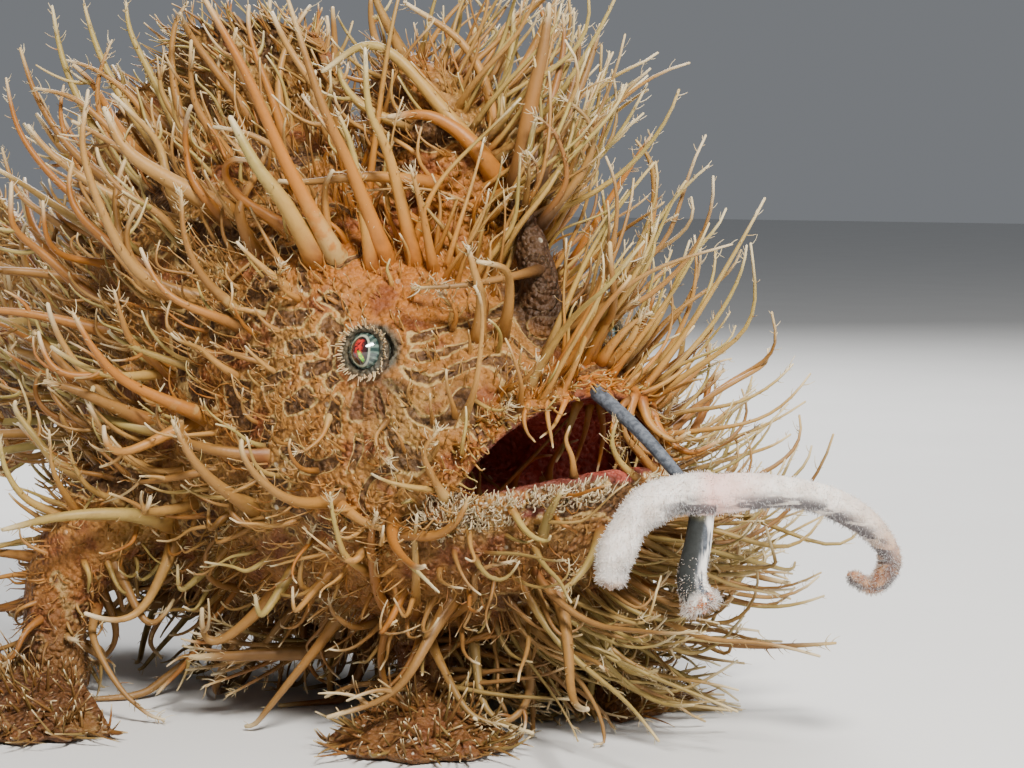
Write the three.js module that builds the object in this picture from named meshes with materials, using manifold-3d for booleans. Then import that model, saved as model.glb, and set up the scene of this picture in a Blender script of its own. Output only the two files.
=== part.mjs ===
// A hairy (striated) frogfish at life size, standing on its fins with its mouth ajar, its
// worm-like lure cast forward and long skin filaments all over.
// Millimetres, +Z up. The fish faces -Y, its right side is -X and the floor is z = 0.
import * as THREE from "three";
import { MeshSurfaceSampler } from "three/addons/math/MeshSurfaceSampler.js";
import { mergeVertices } from "three/addons/utils/BufferGeometryUtils.js";
import Module from "manifold-3d";

const wasm = await Module();
wasm.setup();

// Driving dimensions
const GAP = 0.3; // what touching pieces keep between them
const BODY_SIDES = 32; // corners of one section of the body
const SQUARENESS = 2.2; // 2 is an ellipse, more is boxier
const WAIST = 0.45; // where a section is widest, as a share of its height
// Sections of the body from the lower lip to the root of the tail fin.
const SECTIONS = [
  { y: -59.4, half: 2.5, top: 34.5, bottom: 28.5 },
  { y: -58.3, half: 6.5, top: 38.5, bottom: 25 },
  { y: -56, half: 11, top: 42.2, bottom: 20.8 },
  { y: -52, half: 16, top: 46, bottom: 16.8 },
  { y: -46, half: 20.8, top: 51.5, bottom: 13.6 },
  { y: -36, half: 25.2, top: 60.5, bottom: 10.8 },
  { y: -24, half: 27.4, top: 69, bottom: 9 },
  { y: -10, half: 28, top: 75, bottom: 8 },
  { y: 4, half: 27.4, top: 76.6, bottom: 8.2 },
  { y: 18, half: 23.8, top: 73.5, bottom: 11.5 },
  { y: 32, half: 16.8, top: 65, bottom: 20 },
  { y: 44, half: 10.4, top: 56.5, bottom: 30 },
  { y: 54, half: 6.8, top: 52.2, bottom: 34 },
  { y: 60, half: 5.4, top: 51, bottom: 35 },
];
const HEAD_BACK = -20; // where the head ends and the trunk begins
const TRUNK_BACK = 38; // where the trunk ends and the tail stalk begins
const MOUTH = { half: 18, floor: 30.4, height: 12.3, depth: 14, front: -53 };
const JAW = { corner: -43.5, heel: -33.5, level: 27.6, rise: 0.3, bowl: [14.2, 7.8, 5] };
const LIP = { upper: 1.5, lower: 2 };
const EYE = { x: 20.4, y: -37.2, z: 48.1, radius: 2.6, pupil: 1.6, lid: 0.8 };
const LURE = { base: [0, -53.6, 44], knot: [0.3, -71, 31.6], rod: 0.95 };
const SPINE_2 = { base: [0, -46.5, 48], tip: [0, -41.5, 68], radius: 2.7 };
const SPINE_3 = { base: [0, -29, 60], tip: [0, -20.5, 81], wide: 7.2, long: 10 };
const SHOULDER = [20, 0, 29];
const ELBOW = [32, 7, 20];
const WRIST = [36, 7, 6];
const HIP = [8, -33, 14];
const ANKLE = [12, -38, 0.2];
// Skin filaments: how many each piece carries, how long they are, and how thick at the root.
const COAT = {
  torso: { count: 60, long: [13, 22], thick: [1.25, 1.7] },
  head: { count: 40, long: [11, 18], thick: [1.15, 1.5] },
  lower_jaw: { count: 20, long: [10, 17], thick: [1.05, 1.35] },
  tail_stalk: { count: 10, long: [9, 15], thick: [1, 1.3] },
  third_dorsal_spine: { count: 9, long: [9, 15], thick: [1, 1.3] },
  second_dorsal_spine: { count: 3, long: [7, 11], thick: [0.9, 1.1] },
  right_pectoral_arm: { count: 6, long: [9, 14], thick: [1, 1.3] },
  left_pectoral_arm: { count: 6, long: [9, 14], thick: [1, 1.3] },
};
const SINK = 1.8; // how deep a filament's root sits in the flesh
const ROOM = 7.2; // least distance between two roots
const CLEAR = 0.35; // what a filament keeps to every other piece

const V = (x, y, z) => new THREE.Vector3(x, y, z);
const vec = (list) => new THREE.Vector3(...list);
const mix = (a, b, t) => a + (b - a) * t;

// A seeded random number from 0 to 1.
function seeded(seed) {
  let state = seed;
  return () => {
    state = (state + 0x6d2b79f5) | 0;
    let t = Math.imul(state ^ (state >>> 15), 1 | state);
    t = (t + Math.imul(t ^ (t >>> 7), 61 | t)) ^ t;
    return ((t ^ (t >>> 14)) >>> 0) / 4294967296;
  };
}

// Solids and meshes

function solidOf(geometry) {
  const bare = geometry.clone();
  for (const name of ["normal", "uv"]) bare.deleteAttribute(name);
  const merged = mergeVertices(bare, 1e-4);
  const triVerts = new Uint32Array(merged.index.array);
  const make = () =>
    new wasm.Manifold(
      new wasm.Mesh({ numProp: 3, vertProperties: merged.attributes.position.array, triVerts }),
    );
  const made = make();
  if (made.volume() > 0) return made;
  for (let i = 0; i < triVerts.length; i += 3)
    [triVerts[i], triVerts[i + 1]] = [triVerts[i + 1], triVerts[i]];
  return make();
}

function geometryOf(solid) {
  const { vertProperties, triVerts } = solid.getMesh();
  const geometry = new THREE.BufferGeometry();
  geometry.setAttribute("position", new THREE.BufferAttribute(new Float32Array(vertProperties), 3));
  geometry.setIndex(new THREE.BufferAttribute(new Uint32Array(triVerts), 1));
  geometry.computeVertexNormals();
  return geometry;
}

const largest = (solid) => solid.decompose().sort((a, b) => b.volume() - a.volume())[0];
const join = (...solids) => wasm.Manifold.union(solids);

// A closed skin over rings that all have the same number of points.
function loft(rings) {
  const sides = rings[0].length;
  const middle = (ring) => ring.reduce((sum, p) => sum.add(p), V(0, 0, 0)).divideScalar(sides);
  const points = [...rings.flat(), middle(rings[0]), middle(rings.at(-1))];
  const [first, last] = [points.length - 2, points.length - 1];
  const index = [];
  rings.slice(1).forEach((_, i) => {
    for (let k = 0; k < sides; k++) {
      const [a, b] = [i * sides + k, i * sides + ((k + 1) % sides)];
      index.push(a, b, b + sides, a, b + sides, a + sides);
    }
  });
  const end = (rings.length - 1) * sides;
  for (let k = 0; k < sides; k++) {
    const next = (k + 1) % sides;
    index.push(first, next, k, last, end + k, end + next);
  }
  const geometry = new THREE.BufferGeometry().setFromPoints(points);
  return geometry.setIndex(index);
}

// A bent, tapering limb. radius(t) gives [across, along the second axis]; up fixes its roll.
// With dome its far end is rounded, and grow makes it fatter and longer all round.
function limb(points, radius, { sides = 8, steps = 8, up = V(0, 1, 0), grow = 0, dome = false } = {}) {
  const curve = new THREE.CatmullRomCurve3(points);
  const rings = [];
  for (let i = 0; i <= steps; i++) {
    const t = i / steps;
    const centre = curve.getPoint(t);
    const along = curve.getTangent(t);
    const across = new THREE.Vector3().crossVectors(along, up).normalize();
    const second = new THREE.Vector3().crossVectors(across, along).normalize();
    const [a, b] = radius(t);
    const ring = [];
    for (let k = 0; k < sides; k++) {
      const angle = (2 * Math.PI * k) / sides;
      ring.push(
        centre
          .clone()
          .addScaledVector(across, (a + grow) * Math.cos(angle))
          .addScaledVector(second, (b + grow) * Math.sin(angle)),
      );
    }
    if (grow && i === 0) ring.forEach((p) => p.addScaledVector(along, -grow));
    if (grow && i === steps && !dome) ring.forEach((p) => p.addScaledVector(along, grow));
    rings.push(ring);
    if (dome && i === steps) {
      const beyond = centre.clone().addScaledVector(along, 0.75 * (a + grow));
      rings.push(ring.map((p) => beyond.clone().add(p.clone().sub(centre).multiplyScalar(0.6))));
    }
  }
  return solidOf(loft(rings));
}

function ellipsoid(centre, radii, across = 24, down = 14) {
  const geometry = new THREE.SphereGeometry(1, across, down);
  geometry.scale(...radii);
  geometry.translate(...centre);
  return solidOf(geometry);
}

function box(low, high) {
  const size = high.map((v, i) => v - low[i]);
  const geometry = new THREE.BoxGeometry(...size);
  geometry.translate(...low.map((v, i) => v + size[i] / 2));
  return solidOf(geometry);
}

// A side view outline of [y, z] points, extruded right through the fish.
function throughCut(outline) {
  const shape = new THREE.Shape(outline.map(([y, z]) => new THREE.Vector2(y, z)));
  const geometry = new THREE.ExtrudeGeometry(shape, { depth: 120, bevelEnabled: false });
  geometry.translate(0, 0, -60);
  geometry.applyMatrix4(new THREE.Matrix4().set(0, 0, 1, 0, 1, 0, 0, 0, 0, 1, 0, 0, 0, 0, 0, 1));
  return solidOf(geometry);
}

// The body's own form

// One measure of the body at y, on a smooth curve through the sections.
function measure(y, key) {
  const last = SECTIONS.length - 1;
  const at = Math.min(Math.max(SECTIONS.findIndex((s) => s.y >= y) - 1, 0), last - 1);
  const i = y >= SECTIONS[last].y ? last - 1 : at;
  const slope = (k) => {
    const [a, b] = [SECTIONS[Math.max(k - 1, 0)], SECTIONS[Math.min(k + 1, last)]];
    return (b[key] - a[key]) / (b.y - a.y);
  };
  const [a, b] = [SECTIONS[i], SECTIONS[i + 1]];
  const span = b.y - a.y;
  const t = Math.min(Math.max((y - a.y) / span, 0), 1);
  const rise = b[key] - a[key];
  const [m0, m1] = [slope(i) * span, slope(i + 1) * span];
  return a[key] + t * (m0 + t * (3 * rise - 2 * m0 - m1 + t * (m0 + m1 - 2 * rise)));
}

function section(y) {
  const [half, top, bottom] = ["half", "top", "bottom"].map((key) => measure(y, key));
  const middle = mix(bottom, top, WAIST);
  return { half, top, bottom, middle };
}

function bodyRing(y, grow) {
  const { half, top, bottom, middle } = section(y);
  const power = 2 / SQUARENESS;
  const ring = [];
  for (let k = 0; k < BODY_SIDES; k++) {
    const angle = (2 * Math.PI * k) / BODY_SIDES;
    const [c, s] = [Math.cos(angle), Math.sin(angle)];
    const reach = s > 0 ? top - middle : middle - bottom;
    ring.push(
      V(
        (half + grow) * Math.sign(c) * Math.abs(c) ** power,
        y,
        middle + (reach + grow) * Math.sign(s) * Math.abs(s) ** power,
      ),
    );
  }
  return ring;
}

function bodySolid(grow = 0) {
  const front = [-59.4, -58.3, -56, -52.5, -48.5, -44, -38, -31, -24];
  const back = [-16, -8, 0, 8, 15, 22, 29, 36, 42, 49, 60];
  const rings = [...front, ...back].map((y) => bodyRing(y, grow));
  if (grow) rings[0].forEach((p) => (p.y -= grow));
  if (grow) rings.at(-1).forEach((p) => (p.y += grow));
  return solidOf(loft(rings));
}

// Under 1 inside the body, over 1 outside it.
function depthIn(x, y, z) {
  const { half, top, bottom, middle } = section(y);
  const reach = z > middle ? top - middle : middle - bottom;
  return Math.abs(x / half) ** SQUARENESS + Math.abs((z - middle) / reach) ** SQUARENESS;
}

// The point of the snout's surface that is seen straight from the front at x, z.
function onSnout(x, z) {
  let [out, inside] = [SECTIONS[0].y, -25];
  for (let i = 0; i < 30; i++) {
    const y = (out + inside) / 2;
    if (depthIn(x, y, z) < 1) inside = y;
    else out = y;
  }
  return V(x, inside, z);
}

const body = bodySolid();
const bodyRoom = bodySolid(GAP);
const FAR = 90;
const floorCut = box([-FAR, -FAR, -20], [FAR, 2 * FAR, 0]);

// Head, jaw, trunk and tail stalk

const mouthCentre = [0, MOUTH.front, MOUTH.floor];
const mouthReach = [MOUTH.half, MOUTH.depth, MOUTH.height];
const mouthLine = (y) => JAW.level - JAW.rise * (y - JAW.corner);
const jawOutline = (gap) => [
  [-80, mouthLine(-80) + gap],
  [JAW.corner + gap, mouthLine(JAW.corner) + gap],
  [JAW.heel + gap, 0],
  [-80, 0],
];

function upperLip() {
  const arch = [];
  for (let i = 0; i <= 8; i++) {
    const angle = (Math.PI * i) / 8;
    const x = (MOUTH.half + 0.8) * Math.cos(angle);
    const z = MOUTH.floor - 1.5 + (MOUTH.height + 2.2) * Math.sin(angle);
    arch.push(onSnout(x, z).add(V(0, 0.9, 0)));
  }
  return limb(arch, () => [LIP.upper, LIP.upper], { sides: 6, steps: 16, up: V(0, 1, 0.2) });
}

function lowerLip(grow = 0) {
  const arch = [];
  for (let i = 0; i <= 8; i++) {
    const x = (MOUTH.half + 1.6) * Math.cos((Math.PI * i) / 8);
    const p = onSnout(x, mouthLine(-56));
    arch.push(V(x, p.y + 1.2, mouthLine(p.y)));
  }
  const size = (t) => LIP.lower * (0.72 + 0.28 * Math.sin(Math.PI * t));
  return limb(arch, (t) => [size(t), size(t)], { sides: 8, steps: 16, up: V(0, 0, 1), grow });
}

const eyeCentre = (side) => V(side * EYE.x, EYE.y, EYE.z);
const eyeAxis = (side) => V(side * 1, -0.3, 0.12).normalize();

function facing(geometry, centre, axis) {
  const turn = new THREE.Quaternion().setFromUnitVectors(V(0, 0, 1), axis);
  geometry.applyQuaternion(turn);
  geometry.translate(...centre.toArray());
  return solidOf(geometry);
}

function eyeball(side) {
  const centre = eyeCentre(side);
  const ball = ellipsoid(centre.toArray(), [EYE.radius, EYE.radius, EYE.radius], 14, 8);
  const pupil = new THREE.SphereGeometry(EYE.pupil, 10, 6);
  pupil.scale(0.75, 1, 0.55);
  const front = centre.clone().addScaledVector(eyeAxis(side), EYE.radius - 0.45);
  return join(ball, facing(pupil, front, eyeAxis(side)));
}

function eyelids(side) {
  const ring = new THREE.TorusGeometry(EYE.radius + 0.4, EYE.lid, 6, 16);
  ring.scale(1, 1.08, 1);
  return facing(ring, eyeCentre(side).addScaledVector(eyeAxis(side), 0.9), eyeAxis(side));
}

function nostril(x, z) {
  const profile = [
    [0, -2],
    [1.5, -2],
    [1, 1.4],
    [0.65, 1.5],
    [0.5, 0.2],
    [0, 0.1],
  ].map(([r, h]) => new THREE.Vector2(r, h));
  const cup = new THREE.LatheGeometry(profile, 8);
  cup.rotateX(Math.PI / 2);
  return facing(cup, onSnout(x, z), V(x, -9, 5).normalize());
}

function headSolid() {
  const front = box([-FAR, -FAR, -5], [FAR, HEAD_BACK - GAP / 2, 2 * FAR]);
  const grown = [upperLip()];
  for (const side of [-1, 1]) {
    grown.push(eyelids(side), nostril(side * 5.6, 46.2), nostril(side * 13.2, 50.5));
  }
  const mouthRoom = ellipsoid(mouthCentre, mouthReach, 20, 12);
  let head = join(body.intersect(front), ...grown)
    .subtract(throughCut(jawOutline(GAP)))
    .subtract(mouthRoom)
    .subtract(lowerLip(GAP))
    .subtract(lureRod(GAP));
  for (const side of [-1, 1]) {
    const r = EYE.radius + GAP;
    head = head.subtract(ellipsoid(eyeCentre(side).toArray(), [r, r, r], 16, 8));
  }
  return largest(head);
}

function jawSolid() {
  const bowl = ellipsoid([0, -49.5, MOUTH.floor + 0.6], JAW.bowl, 18, 10);
  return largest(join(body.intersect(throughCut(jawOutline(0))), lowerLip()).subtract(bowl));
}

function gillPore(side) {
  const ring = new THREE.TorusGeometry(1.5, 0.7, 6, 12);
  const y = 17;
  const z = 21;
  const { half, middle, bottom } = section(y);
  const out = half * (1 - Math.abs((z - middle) / (middle - bottom)) ** SQUARENESS) ** (1 / SQUARENESS);
  return facing(ring, V(side * out, y, z), V(side, 0.2, -0.45).normalize());
}

const trunkSolid = () =>
  largest(
    join(
      body.intersect(box([-FAR, HEAD_BACK + GAP / 2, 0], [FAR, TRUNK_BACK - GAP / 2, FAR])),
      gillPore(-1),
      gillPore(1),
    ),
  );
const tailStalkSolid = () => body.intersect(box([-FAR, TRUNK_BACK + GAP / 2, 0], [FAR, FAR, FAR]));

// Fins

// A membrane between rays, each a list of points from root to tip. Both faces are split alike,
// the rays stand up as ridges and the edge dips between them.
function fin(rays, { root = 2.2, edge = 0.8, ridge = 0.35, dip = 0.9 } = {}) {
  const columns = [];
  rays.forEach((ray, i) => {
    columns.push(ray);
    if (i + 1 === rays.length) return;
    const next = rays[i + 1];
    columns.push(ray.map((p, j) => p.clone().lerp(next[j], 0.5)));
    const [tip, before] = [columns.at(-1).at(-1), columns.at(-1).at(-2)];
    tip.lerp(before, 1 - dip);
  });
  const [wide, long] = [columns.length, rays[0].length];
  const at = (i, j) => columns[Math.min(Math.max(i, 0), wide - 1)][Math.min(Math.max(j, 0), long - 1)];
  const faces = [1, -1].map((side) =>
    columns.map((column, i) =>
      column.map((p, j) => {
        const across = at(i + 1, j).clone().sub(at(i - 1, j));
        const along = at(i, j + 1).clone().sub(at(i, j - 1));
        const normal = new THREE.Vector3().crossVectors(across, along).normalize();
        const half = mix(root, edge, j / (long - 1)) / 2 + (i % 2 ? 0 : ridge);
        return p.clone().addScaledVector(normal, side * half);
      }),
    ),
  );
  const points = faces.flat(2);
  const id = (side, i, j) => (side * wide + i) * long + j;
  const index = [];
  for (let i = 0; i + 1 < wide; i++)
    for (let j = 0; j + 1 < long; j++) {
      const [a, b, c, d] = [id(0, i, j), id(0, i + 1, j), id(0, i + 1, j + 1), id(0, i, j + 1)];
      const under = wide * long;
      index.push(a, b, c, a, c, d, a + under, c + under, b + under, a + under, d + under, c + under);
    }
  const wall = (p, q) => {
    const under = wide * long;
    index.push(q, p, p + under, q, p + under, q + under);
  };
  for (let i = 0; i + 1 < wide; i++) {
    wall(id(0, i, 0), id(0, i + 1, 0));
    wall(id(0, i + 1, long - 1), id(0, i, long - 1));
  }
  for (let j = 0; j + 1 < long; j++) {
    wall(id(0, wide - 1, j), id(0, wide - 1, j + 1));
    wall(id(0, 0, j + 1), id(0, 0, j));
  }
  return solidOf(new THREE.BufferGeometry().setFromPoints(points).setIndex(index));
}

// The points of one fin ray from root to tip, bowed by bend halfway.
function ray(root, tip, steps, bend = V(0, 0, 0)) {
  const points = [];
  for (let j = 0; j <= steps; j++) {
    const t = j / steps;
    points.push(root.clone().lerp(tip, t).addScaledVector(bend, Math.sin(Math.PI * t)));
  }
  return points;
}

function dorsalFin() {
  const count = 12;
  const rays = [];
  for (let i = 0; i < count; i++) {
    const t = i / (count - 1);
    const y = mix(-9, 43, t);
    const root = V(0, y, measure(y, "top") - 2);
    const height = 20 * (0.62 + 0.38 * Math.sin(Math.PI * (0.12 + 0.76 * t)));
    const lean = mix(0.35, 1.15, t);
    const sway = 2.2 * Math.sin(1.3 * i);
    const tip = root.clone().add(V(sway, height * Math.sin(lean), height * Math.cos(lean)));
    rays.push(ray(root, tip, 4, V(sway * 0.3, -1.2, 0.6)));
  }
  return largest(fin(rays, { root: 3, edge: 1 }).subtract(bodyRoom));
}

function analFin() {
  const count = 7;
  const rays = [];
  for (let i = 0; i < count; i++) {
    const t = i / (count - 1);
    const y = mix(23, 45, t);
    const root = V(0, y, measure(y, "bottom") + 2);
    const height = 15.5 * (0.75 + 0.25 * Math.sin(Math.PI * (0.1 + 0.8 * t)));
    const lean = mix(0.55, 1.15, t);
    const tip = root.clone().add(V(1.1 * Math.sin(2 * i), height * Math.sin(lean), -height * Math.cos(lean)));
    rays.push(ray(root, tip, 4, V(0, -0.8, -0.8)));
  }
  return largest(fin(rays, { root: 2.6, edge: 1 }).subtract(bodyRoom));
}

function tailFin() {
  const count = 9;
  const rays = [];
  for (let i = 0; i < count; i++) {
    const t = (2 * i) / (count - 1) - 1;
    const root = V(0, 57, 43 + 6.6 * t);
    const spread = 0.62 * t;
    const length = 31 - 3.5 * t * t;
    const sway = 1.6 * Math.sin(1.9 * i);
    const tip = V(sway + 3, 57 + length * Math.cos(spread), 43 + 6.6 * t + length * Math.sin(spread));
    rays.push(ray(root, tip, 4, V(0.8, 0, 0.6 * t)));
  }
  return largest(fin(rays, { root: 3, edge: 1, ridge: 0.45 }).subtract(bodyRoom));
}

const sided = (side, list) => V(side * list[0], list[1], list[2]);

function armSolid(side, grow = 0) {
  const path = [SHOULDER, ELBOW, WRIST].map((p) => sided(side, p));
  const size = (t) => [mix(9.5, 5.2, Math.min(1, 1.25 * t)), mix(8, 3.9, t)];
  return limb(path, size, { sides: 14, steps: 6, up: V(0, 1, 0), grow });
}

// The hand-like pectoral fin, spread on the floor round the wrist.
function handFin(side) {
  const count = 10;
  const rays = [];
  for (let i = 0; i < count; i++) {
    const t = i / (count - 1);
    const turn = mix(-1.35, 1.2, t);
    const out = V(side * Math.cos(turn), Math.sin(turn), 0);
    const length = 17 + 3 * Math.sin(Math.PI * t);
    const root = sided(side, WRIST).addScaledVector(out, 1.5);
    const tip = root.clone().addScaledVector(out, length);
    root.z = 4.6;
    tip.z = 0.35;
    const knuckle = V(0, 0, 1.1);
    rays.push(ray(root, tip, 4, knuckle));
  }
  const spread = fin(rays, { root: 3.4, edge: 1.1, ridge: 0.5, dip: 0.75 });
  return largest(spread.subtract(armSolid(side, GAP)).subtract(floorCut));
}

function pelvicFin(side) {
  const stalk = limb([HIP, ANKLE].map((p) => sided(side, p)), (t) => [mix(5, 3.4, t), mix(4.4, 3, t)], {
    sides: 10,
    steps: 3,
    up: V(0, 1, 0),
  });
  const count = 5;
  const rays = [];
  for (let i = 0; i < count; i++) {
    const t = i / (count - 1);
    const turn = mix(-1.75, 0.35, t);
    const out = V(side * Math.cos(turn), Math.sin(turn), 0);
    const root = sided(side, ANKLE).addScaledVector(out, 1.2);
    const tip = root.clone().addScaledVector(out, 12 + 1.5 * Math.sin(Math.PI * t));
    root.z = 4;
    tip.z = 0.35;
    rays.push(ray(root, tip, 4, V(0, 0, 0.7)));
  }
  const foot = fin(rays, { root: 3.6, edge: 1.1, ridge: 0.5, dip: 0.75 });
  return largest(join(stalk, foot).subtract(bodyRoom).subtract(floorCut));
}

// First three dorsal spines: the lure's rod, and two fleshy spines behind it

const lureRod = (grow = 0) =>
  limb(
    [vec(LURE.base).add(V(0, 2.5, 1)), vec(LURE.base), V(0.4, -62, 38.6), vec(LURE.knot)],
    (t) => [LURE.rod * mix(1.25, 0.85, t), LURE.rod * mix(1.25, 0.85, t)],
    { sides: 8, steps: 10, up: V(1, 0, 0), grow },
  );

// The bait's arms. Across runs towards the fish's left and forward, as the bait is held.
const across = V(0.76, -0.65, 0);
const knotOffset = (sideways, down, ahead = 0) =>
  vec(LURE.knot).addScaledVector(across, sideways).add(V(-0.6 * ahead, -0.8 * ahead, -down));
const plump = (thick, thin) => (t) => {
  const r = mix(thick, thin, t ** 1.5) * (1 + 0.07 * Math.sin(19 * t));
  return [r, r];
};

const nearArm = (grow = 0) =>
  limb(
    [
      knotOffset(2.2, -0.4),
      knotOffset(-2.5, -0.6),
      knotOffset(-7, 1.6),
      knotOffset(-9.6, 6.2),
      knotOffset(-10.2, 10),
    ],
    plump(2.9, 2.3),
    { sides: 10, steps: 12, up: V(0.6, 0.8, 0.1), grow, dome: true },
  );
const farArm = (grow = 0) =>
  limb(
    [
      knotOffset(1.4, -0.2),
      knotOffset(8, -0.9),
      knotOffset(15, 0.3),
      knotOffset(20.5, 3.6),
      knotOffset(23, 7.6, -1),
      knotOffset(21.2, 10.6, -1.6),
      knotOffset(18.4, 9.4, -2),
    ],
    (t) => [mix(2.7, 1.25, t), mix(2.7, 1.25, t)],
    { sides: 9, steps: 16, up: V(0.6, 0.8, 0.1), grow, dome: true },
  );
const hangingArm = (grow = 0) =>
  limb(
    [knotOffset(0.6, 0.4), knotOffset(0, 5), knotOffset(-0.8, 9.5, 0.4), knotOffset(0.4, 12.6, 0.9)],
    (t) => [1.75 + 0.5 * t ** 3, 1.6 + 0.5 * t ** 3],
    { sides: 10, steps: 8, up: V(0.6, 0.8, 0), grow, dome: true },
  );

const secondSpine = (grow = 0) =>
  limb(
    [vec(SPINE_2.base).add(V(0, -1, -4)), vec(SPINE_2.base), V(0, -45, 58), vec(SPINE_2.tip)],
    (t) => [SPINE_2.radius * mix(1.15, 0.62, t), SPINE_2.radius * mix(1.25, 0.62, t)],
    { sides: 12, steps: 7, up: V(1, 0, 0), grow, dome: true },
  );

const thirdSpine = (grow = 0) =>
  limb(
    [vec(SPINE_3.base), V(0, -28.5, 69), V(0, -25.5, 76), vec(SPINE_3.tip)],
    (t) => [SPINE_3.long * mix(1, 0.58, t), SPINE_3.wide * mix(1, 0.56, t)],
    { sides: 14, steps: 7, up: V(1, 0, 0), grow, dome: true },
  );

// Colours
const finish = (color, roughness = 0.55, metalness = 0) =>
  new THREE.MeshStandardMaterial({ color, roughness, metalness });
const SKIN = finish(0xb9752f);
const FIN_SKIN = finish(0xa8743a);
const LURE_WHITE = finish(0xe4d3c3, 0.8);
const LURE_STALK = finish(0x8a8f96, 0.45);
const EYE_FINISH = finish(0x3a4a3c, 0.15);

// Each piece's plain flesh, under its filaments.
const pieces = new Map();
const put = (name, solid, material) => pieces.set(name, { solid: largest(solid), material });

put("head", headSolid(), SKIN);
put("lower_jaw", jawSolid(), SKIN);
put("torso", trunkSolid(), SKIN);
put("tail_stalk", tailStalkSolid(), SKIN);
put("right_eye", eyeball(-1), EYE_FINISH);
put("left_eye", eyeball(1), EYE_FINISH);
put("second_dorsal_spine", secondSpine().subtract(bodyRoom), SKIN);
put("third_dorsal_spine", thirdSpine().subtract(bodyRoom), SKIN);
put("lure_rod", lureRod().subtract(bodyRoom).subtract(nearArm(GAP)), LURE_STALK);
put("lure_near_arm", nearArm(), LURE_WHITE);
put("lure_far_arm", farArm().subtract(join(nearArm(GAP), lureRod(GAP))), LURE_WHITE);
put("lure_hanging_arm", hangingArm().subtract(join(nearArm(GAP), farArm(GAP), lureRod(GAP))), LURE_STALK);
put("dorsal_fin", dorsalFin(), FIN_SKIN);
put("anal_fin", analFin(), FIN_SKIN);
put("tail_fin", tailFin(), FIN_SKIN);
for (const [name, side] of [
  ["right", -1],
  ["left", 1],
]) {
  put(name + "_pectoral_arm", armSolid(side).subtract(bodyRoom), SKIN);
  put(name + "_pectoral_fin", handFin(side), FIN_SKIN);
  put(name + "_pelvic_fin", pelvicFin(side), FIN_SKIN);
}

// Skin filaments

const FILAMENT_RINGS = [0, 0.38, 0.72]; // where along it a filament has its rings, before its tip
const hairSize = (t) => 1 - 0.72 * t;

// A filament from root to tip, pulled towards bend on its way, as a tapering tube of few sides.
function filament({ root, bend, tip, radius, sides }, grow = 0) {
  const curve = new THREE.QuadraticBezierCurve3(root, bend, tip);
  const points = [];
  for (const t of FILAMENT_RINGS) {
    const along = curve.getTangent(t);
    const across = V(along.z, along.x, along.y).cross(along).normalize();
    const second = across.clone().cross(along);
    for (let k = 0; k < sides; k++) {
      const angle = (2 * Math.PI * k) / sides;
      const r = radius * hairSize(t) + grow;
      const edge = across.clone().multiplyScalar(r * Math.cos(angle));
      points.push(curve.getPoint(t).add(edge).addScaledVector(second, r * Math.sin(angle)));
    }
  }
  points.push(tip.clone().addScaledVector(curve.getTangent(1), grow));
  const index = [];
  const last = FILAMENT_RINGS.length - 1;
  for (let k = 0; k < sides; k++) {
    const next = (k + 1) % sides;
    for (let i = 0; i < last; i++) {
      const [a, b] = [i * sides + k, i * sides + next];
      index.push(a, b, b + sides, a, b + sides, a + sides);
    }
    index.push(last * sides + k, last * sides + next, points.length - 1);
    if (k > 0 && next > 0) index.push(0, next, k);
  }
  return solidOf(new THREE.BufferGeometry().setFromPoints(points).setIndex(index));
}

// Which way the coat lies at a place: back and up over the back and the flanks, forward and
// down at the chin.
function lieAt(p) {
  const fore = THREE.MathUtils.smoothstep(p.y, -56, -34);
  const high = THREE.MathUtils.smoothstep(p.z, 14, 44);
  return V(0, mix(-0.45, 0.75, fore), mix(-0.7, 0.62, high));
}

const grown = []; // every filament so far, with points along it

const onSkin = (p) => Math.abs(depthIn(p.x, p.y, p.z) - 1) < 0.05;
const alongHair = ({ root, bend, tip }) =>
  new THREE.QuadraticBezierCurve3(root, bend, tip).getPoints(18).slice(3);

function inMouth(p) {
  const [x, y, z] = p.toArray().map((v, i) => (v - mouthCentre[i]) / (mouthReach[i] + 1.5));
  return x * x + y * y + z * z < 1;
}

// True near the line along which an eye looks out.
function beforeEye(p) {
  return [-1, 1].some((side) => {
    const out = p.clone().sub(eyeCentre(side));
    const ahead = Math.max(0, out.dot(eyeAxis(side)));
    return out.addScaledVector(eyeAxis(side), -ahead).length() < EYE.radius + 2.2;
  });
}

const boxesMeet = (a, b) => a.min.every((v, i) => v <= b.max[i] && b.min[i] <= a.max[i]);

// Whether a filament has its own space: clear of the floor, the mouth, the eyes, the body, every
// other piece and every other filament. Those of one bunch share a root and may touch.
function isFree(owner, hair, bunch) {
  const points = alongHair(hair);
  const low = points.some((p) => p.z < hair.radius + 0.6);
  if (low || points.some((p) => inMouth(p) || beforeEye(p))) return false;
  if (points.slice(3).some((p) => depthIn(p.x, p.y, p.z) < 1.08)) return false;
  const crowded = grown.some((other) => {
    if (bunch && other.bunch === bunch) return false;
    const least = hair.radius + other.hair.radius + CLEAR;
    return other.points.some((q) => points.some((p) => p.distanceTo(q) < least));
  });
  if (crowded) return false;
  const room = filament(hair, CLEAR);
  const around = room.boundingBox();
  for (const [name, { solid }] of pieces) {
    if (name === owner || !boxesMeet(around, solid.boundingBox())) continue;
    if (room.intersect(solid).volume() > 0) return false;
  }
  return true;
}

// A filament that leaves a root along out and turns over towards lean.
function makeHair(root, normal, out, lean, long, thick) {
  const start = root.clone().addScaledVector(normal, -SINK);
  const bend = root.clone().addScaledVector(out, 0.52 * long);
  const tip = bend.clone().addScaledVector(lean, 0.55 * long);
  return { root: start, bend, tip, radius: thick, sides: long > 15 ? 4 : 3 };
}

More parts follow.
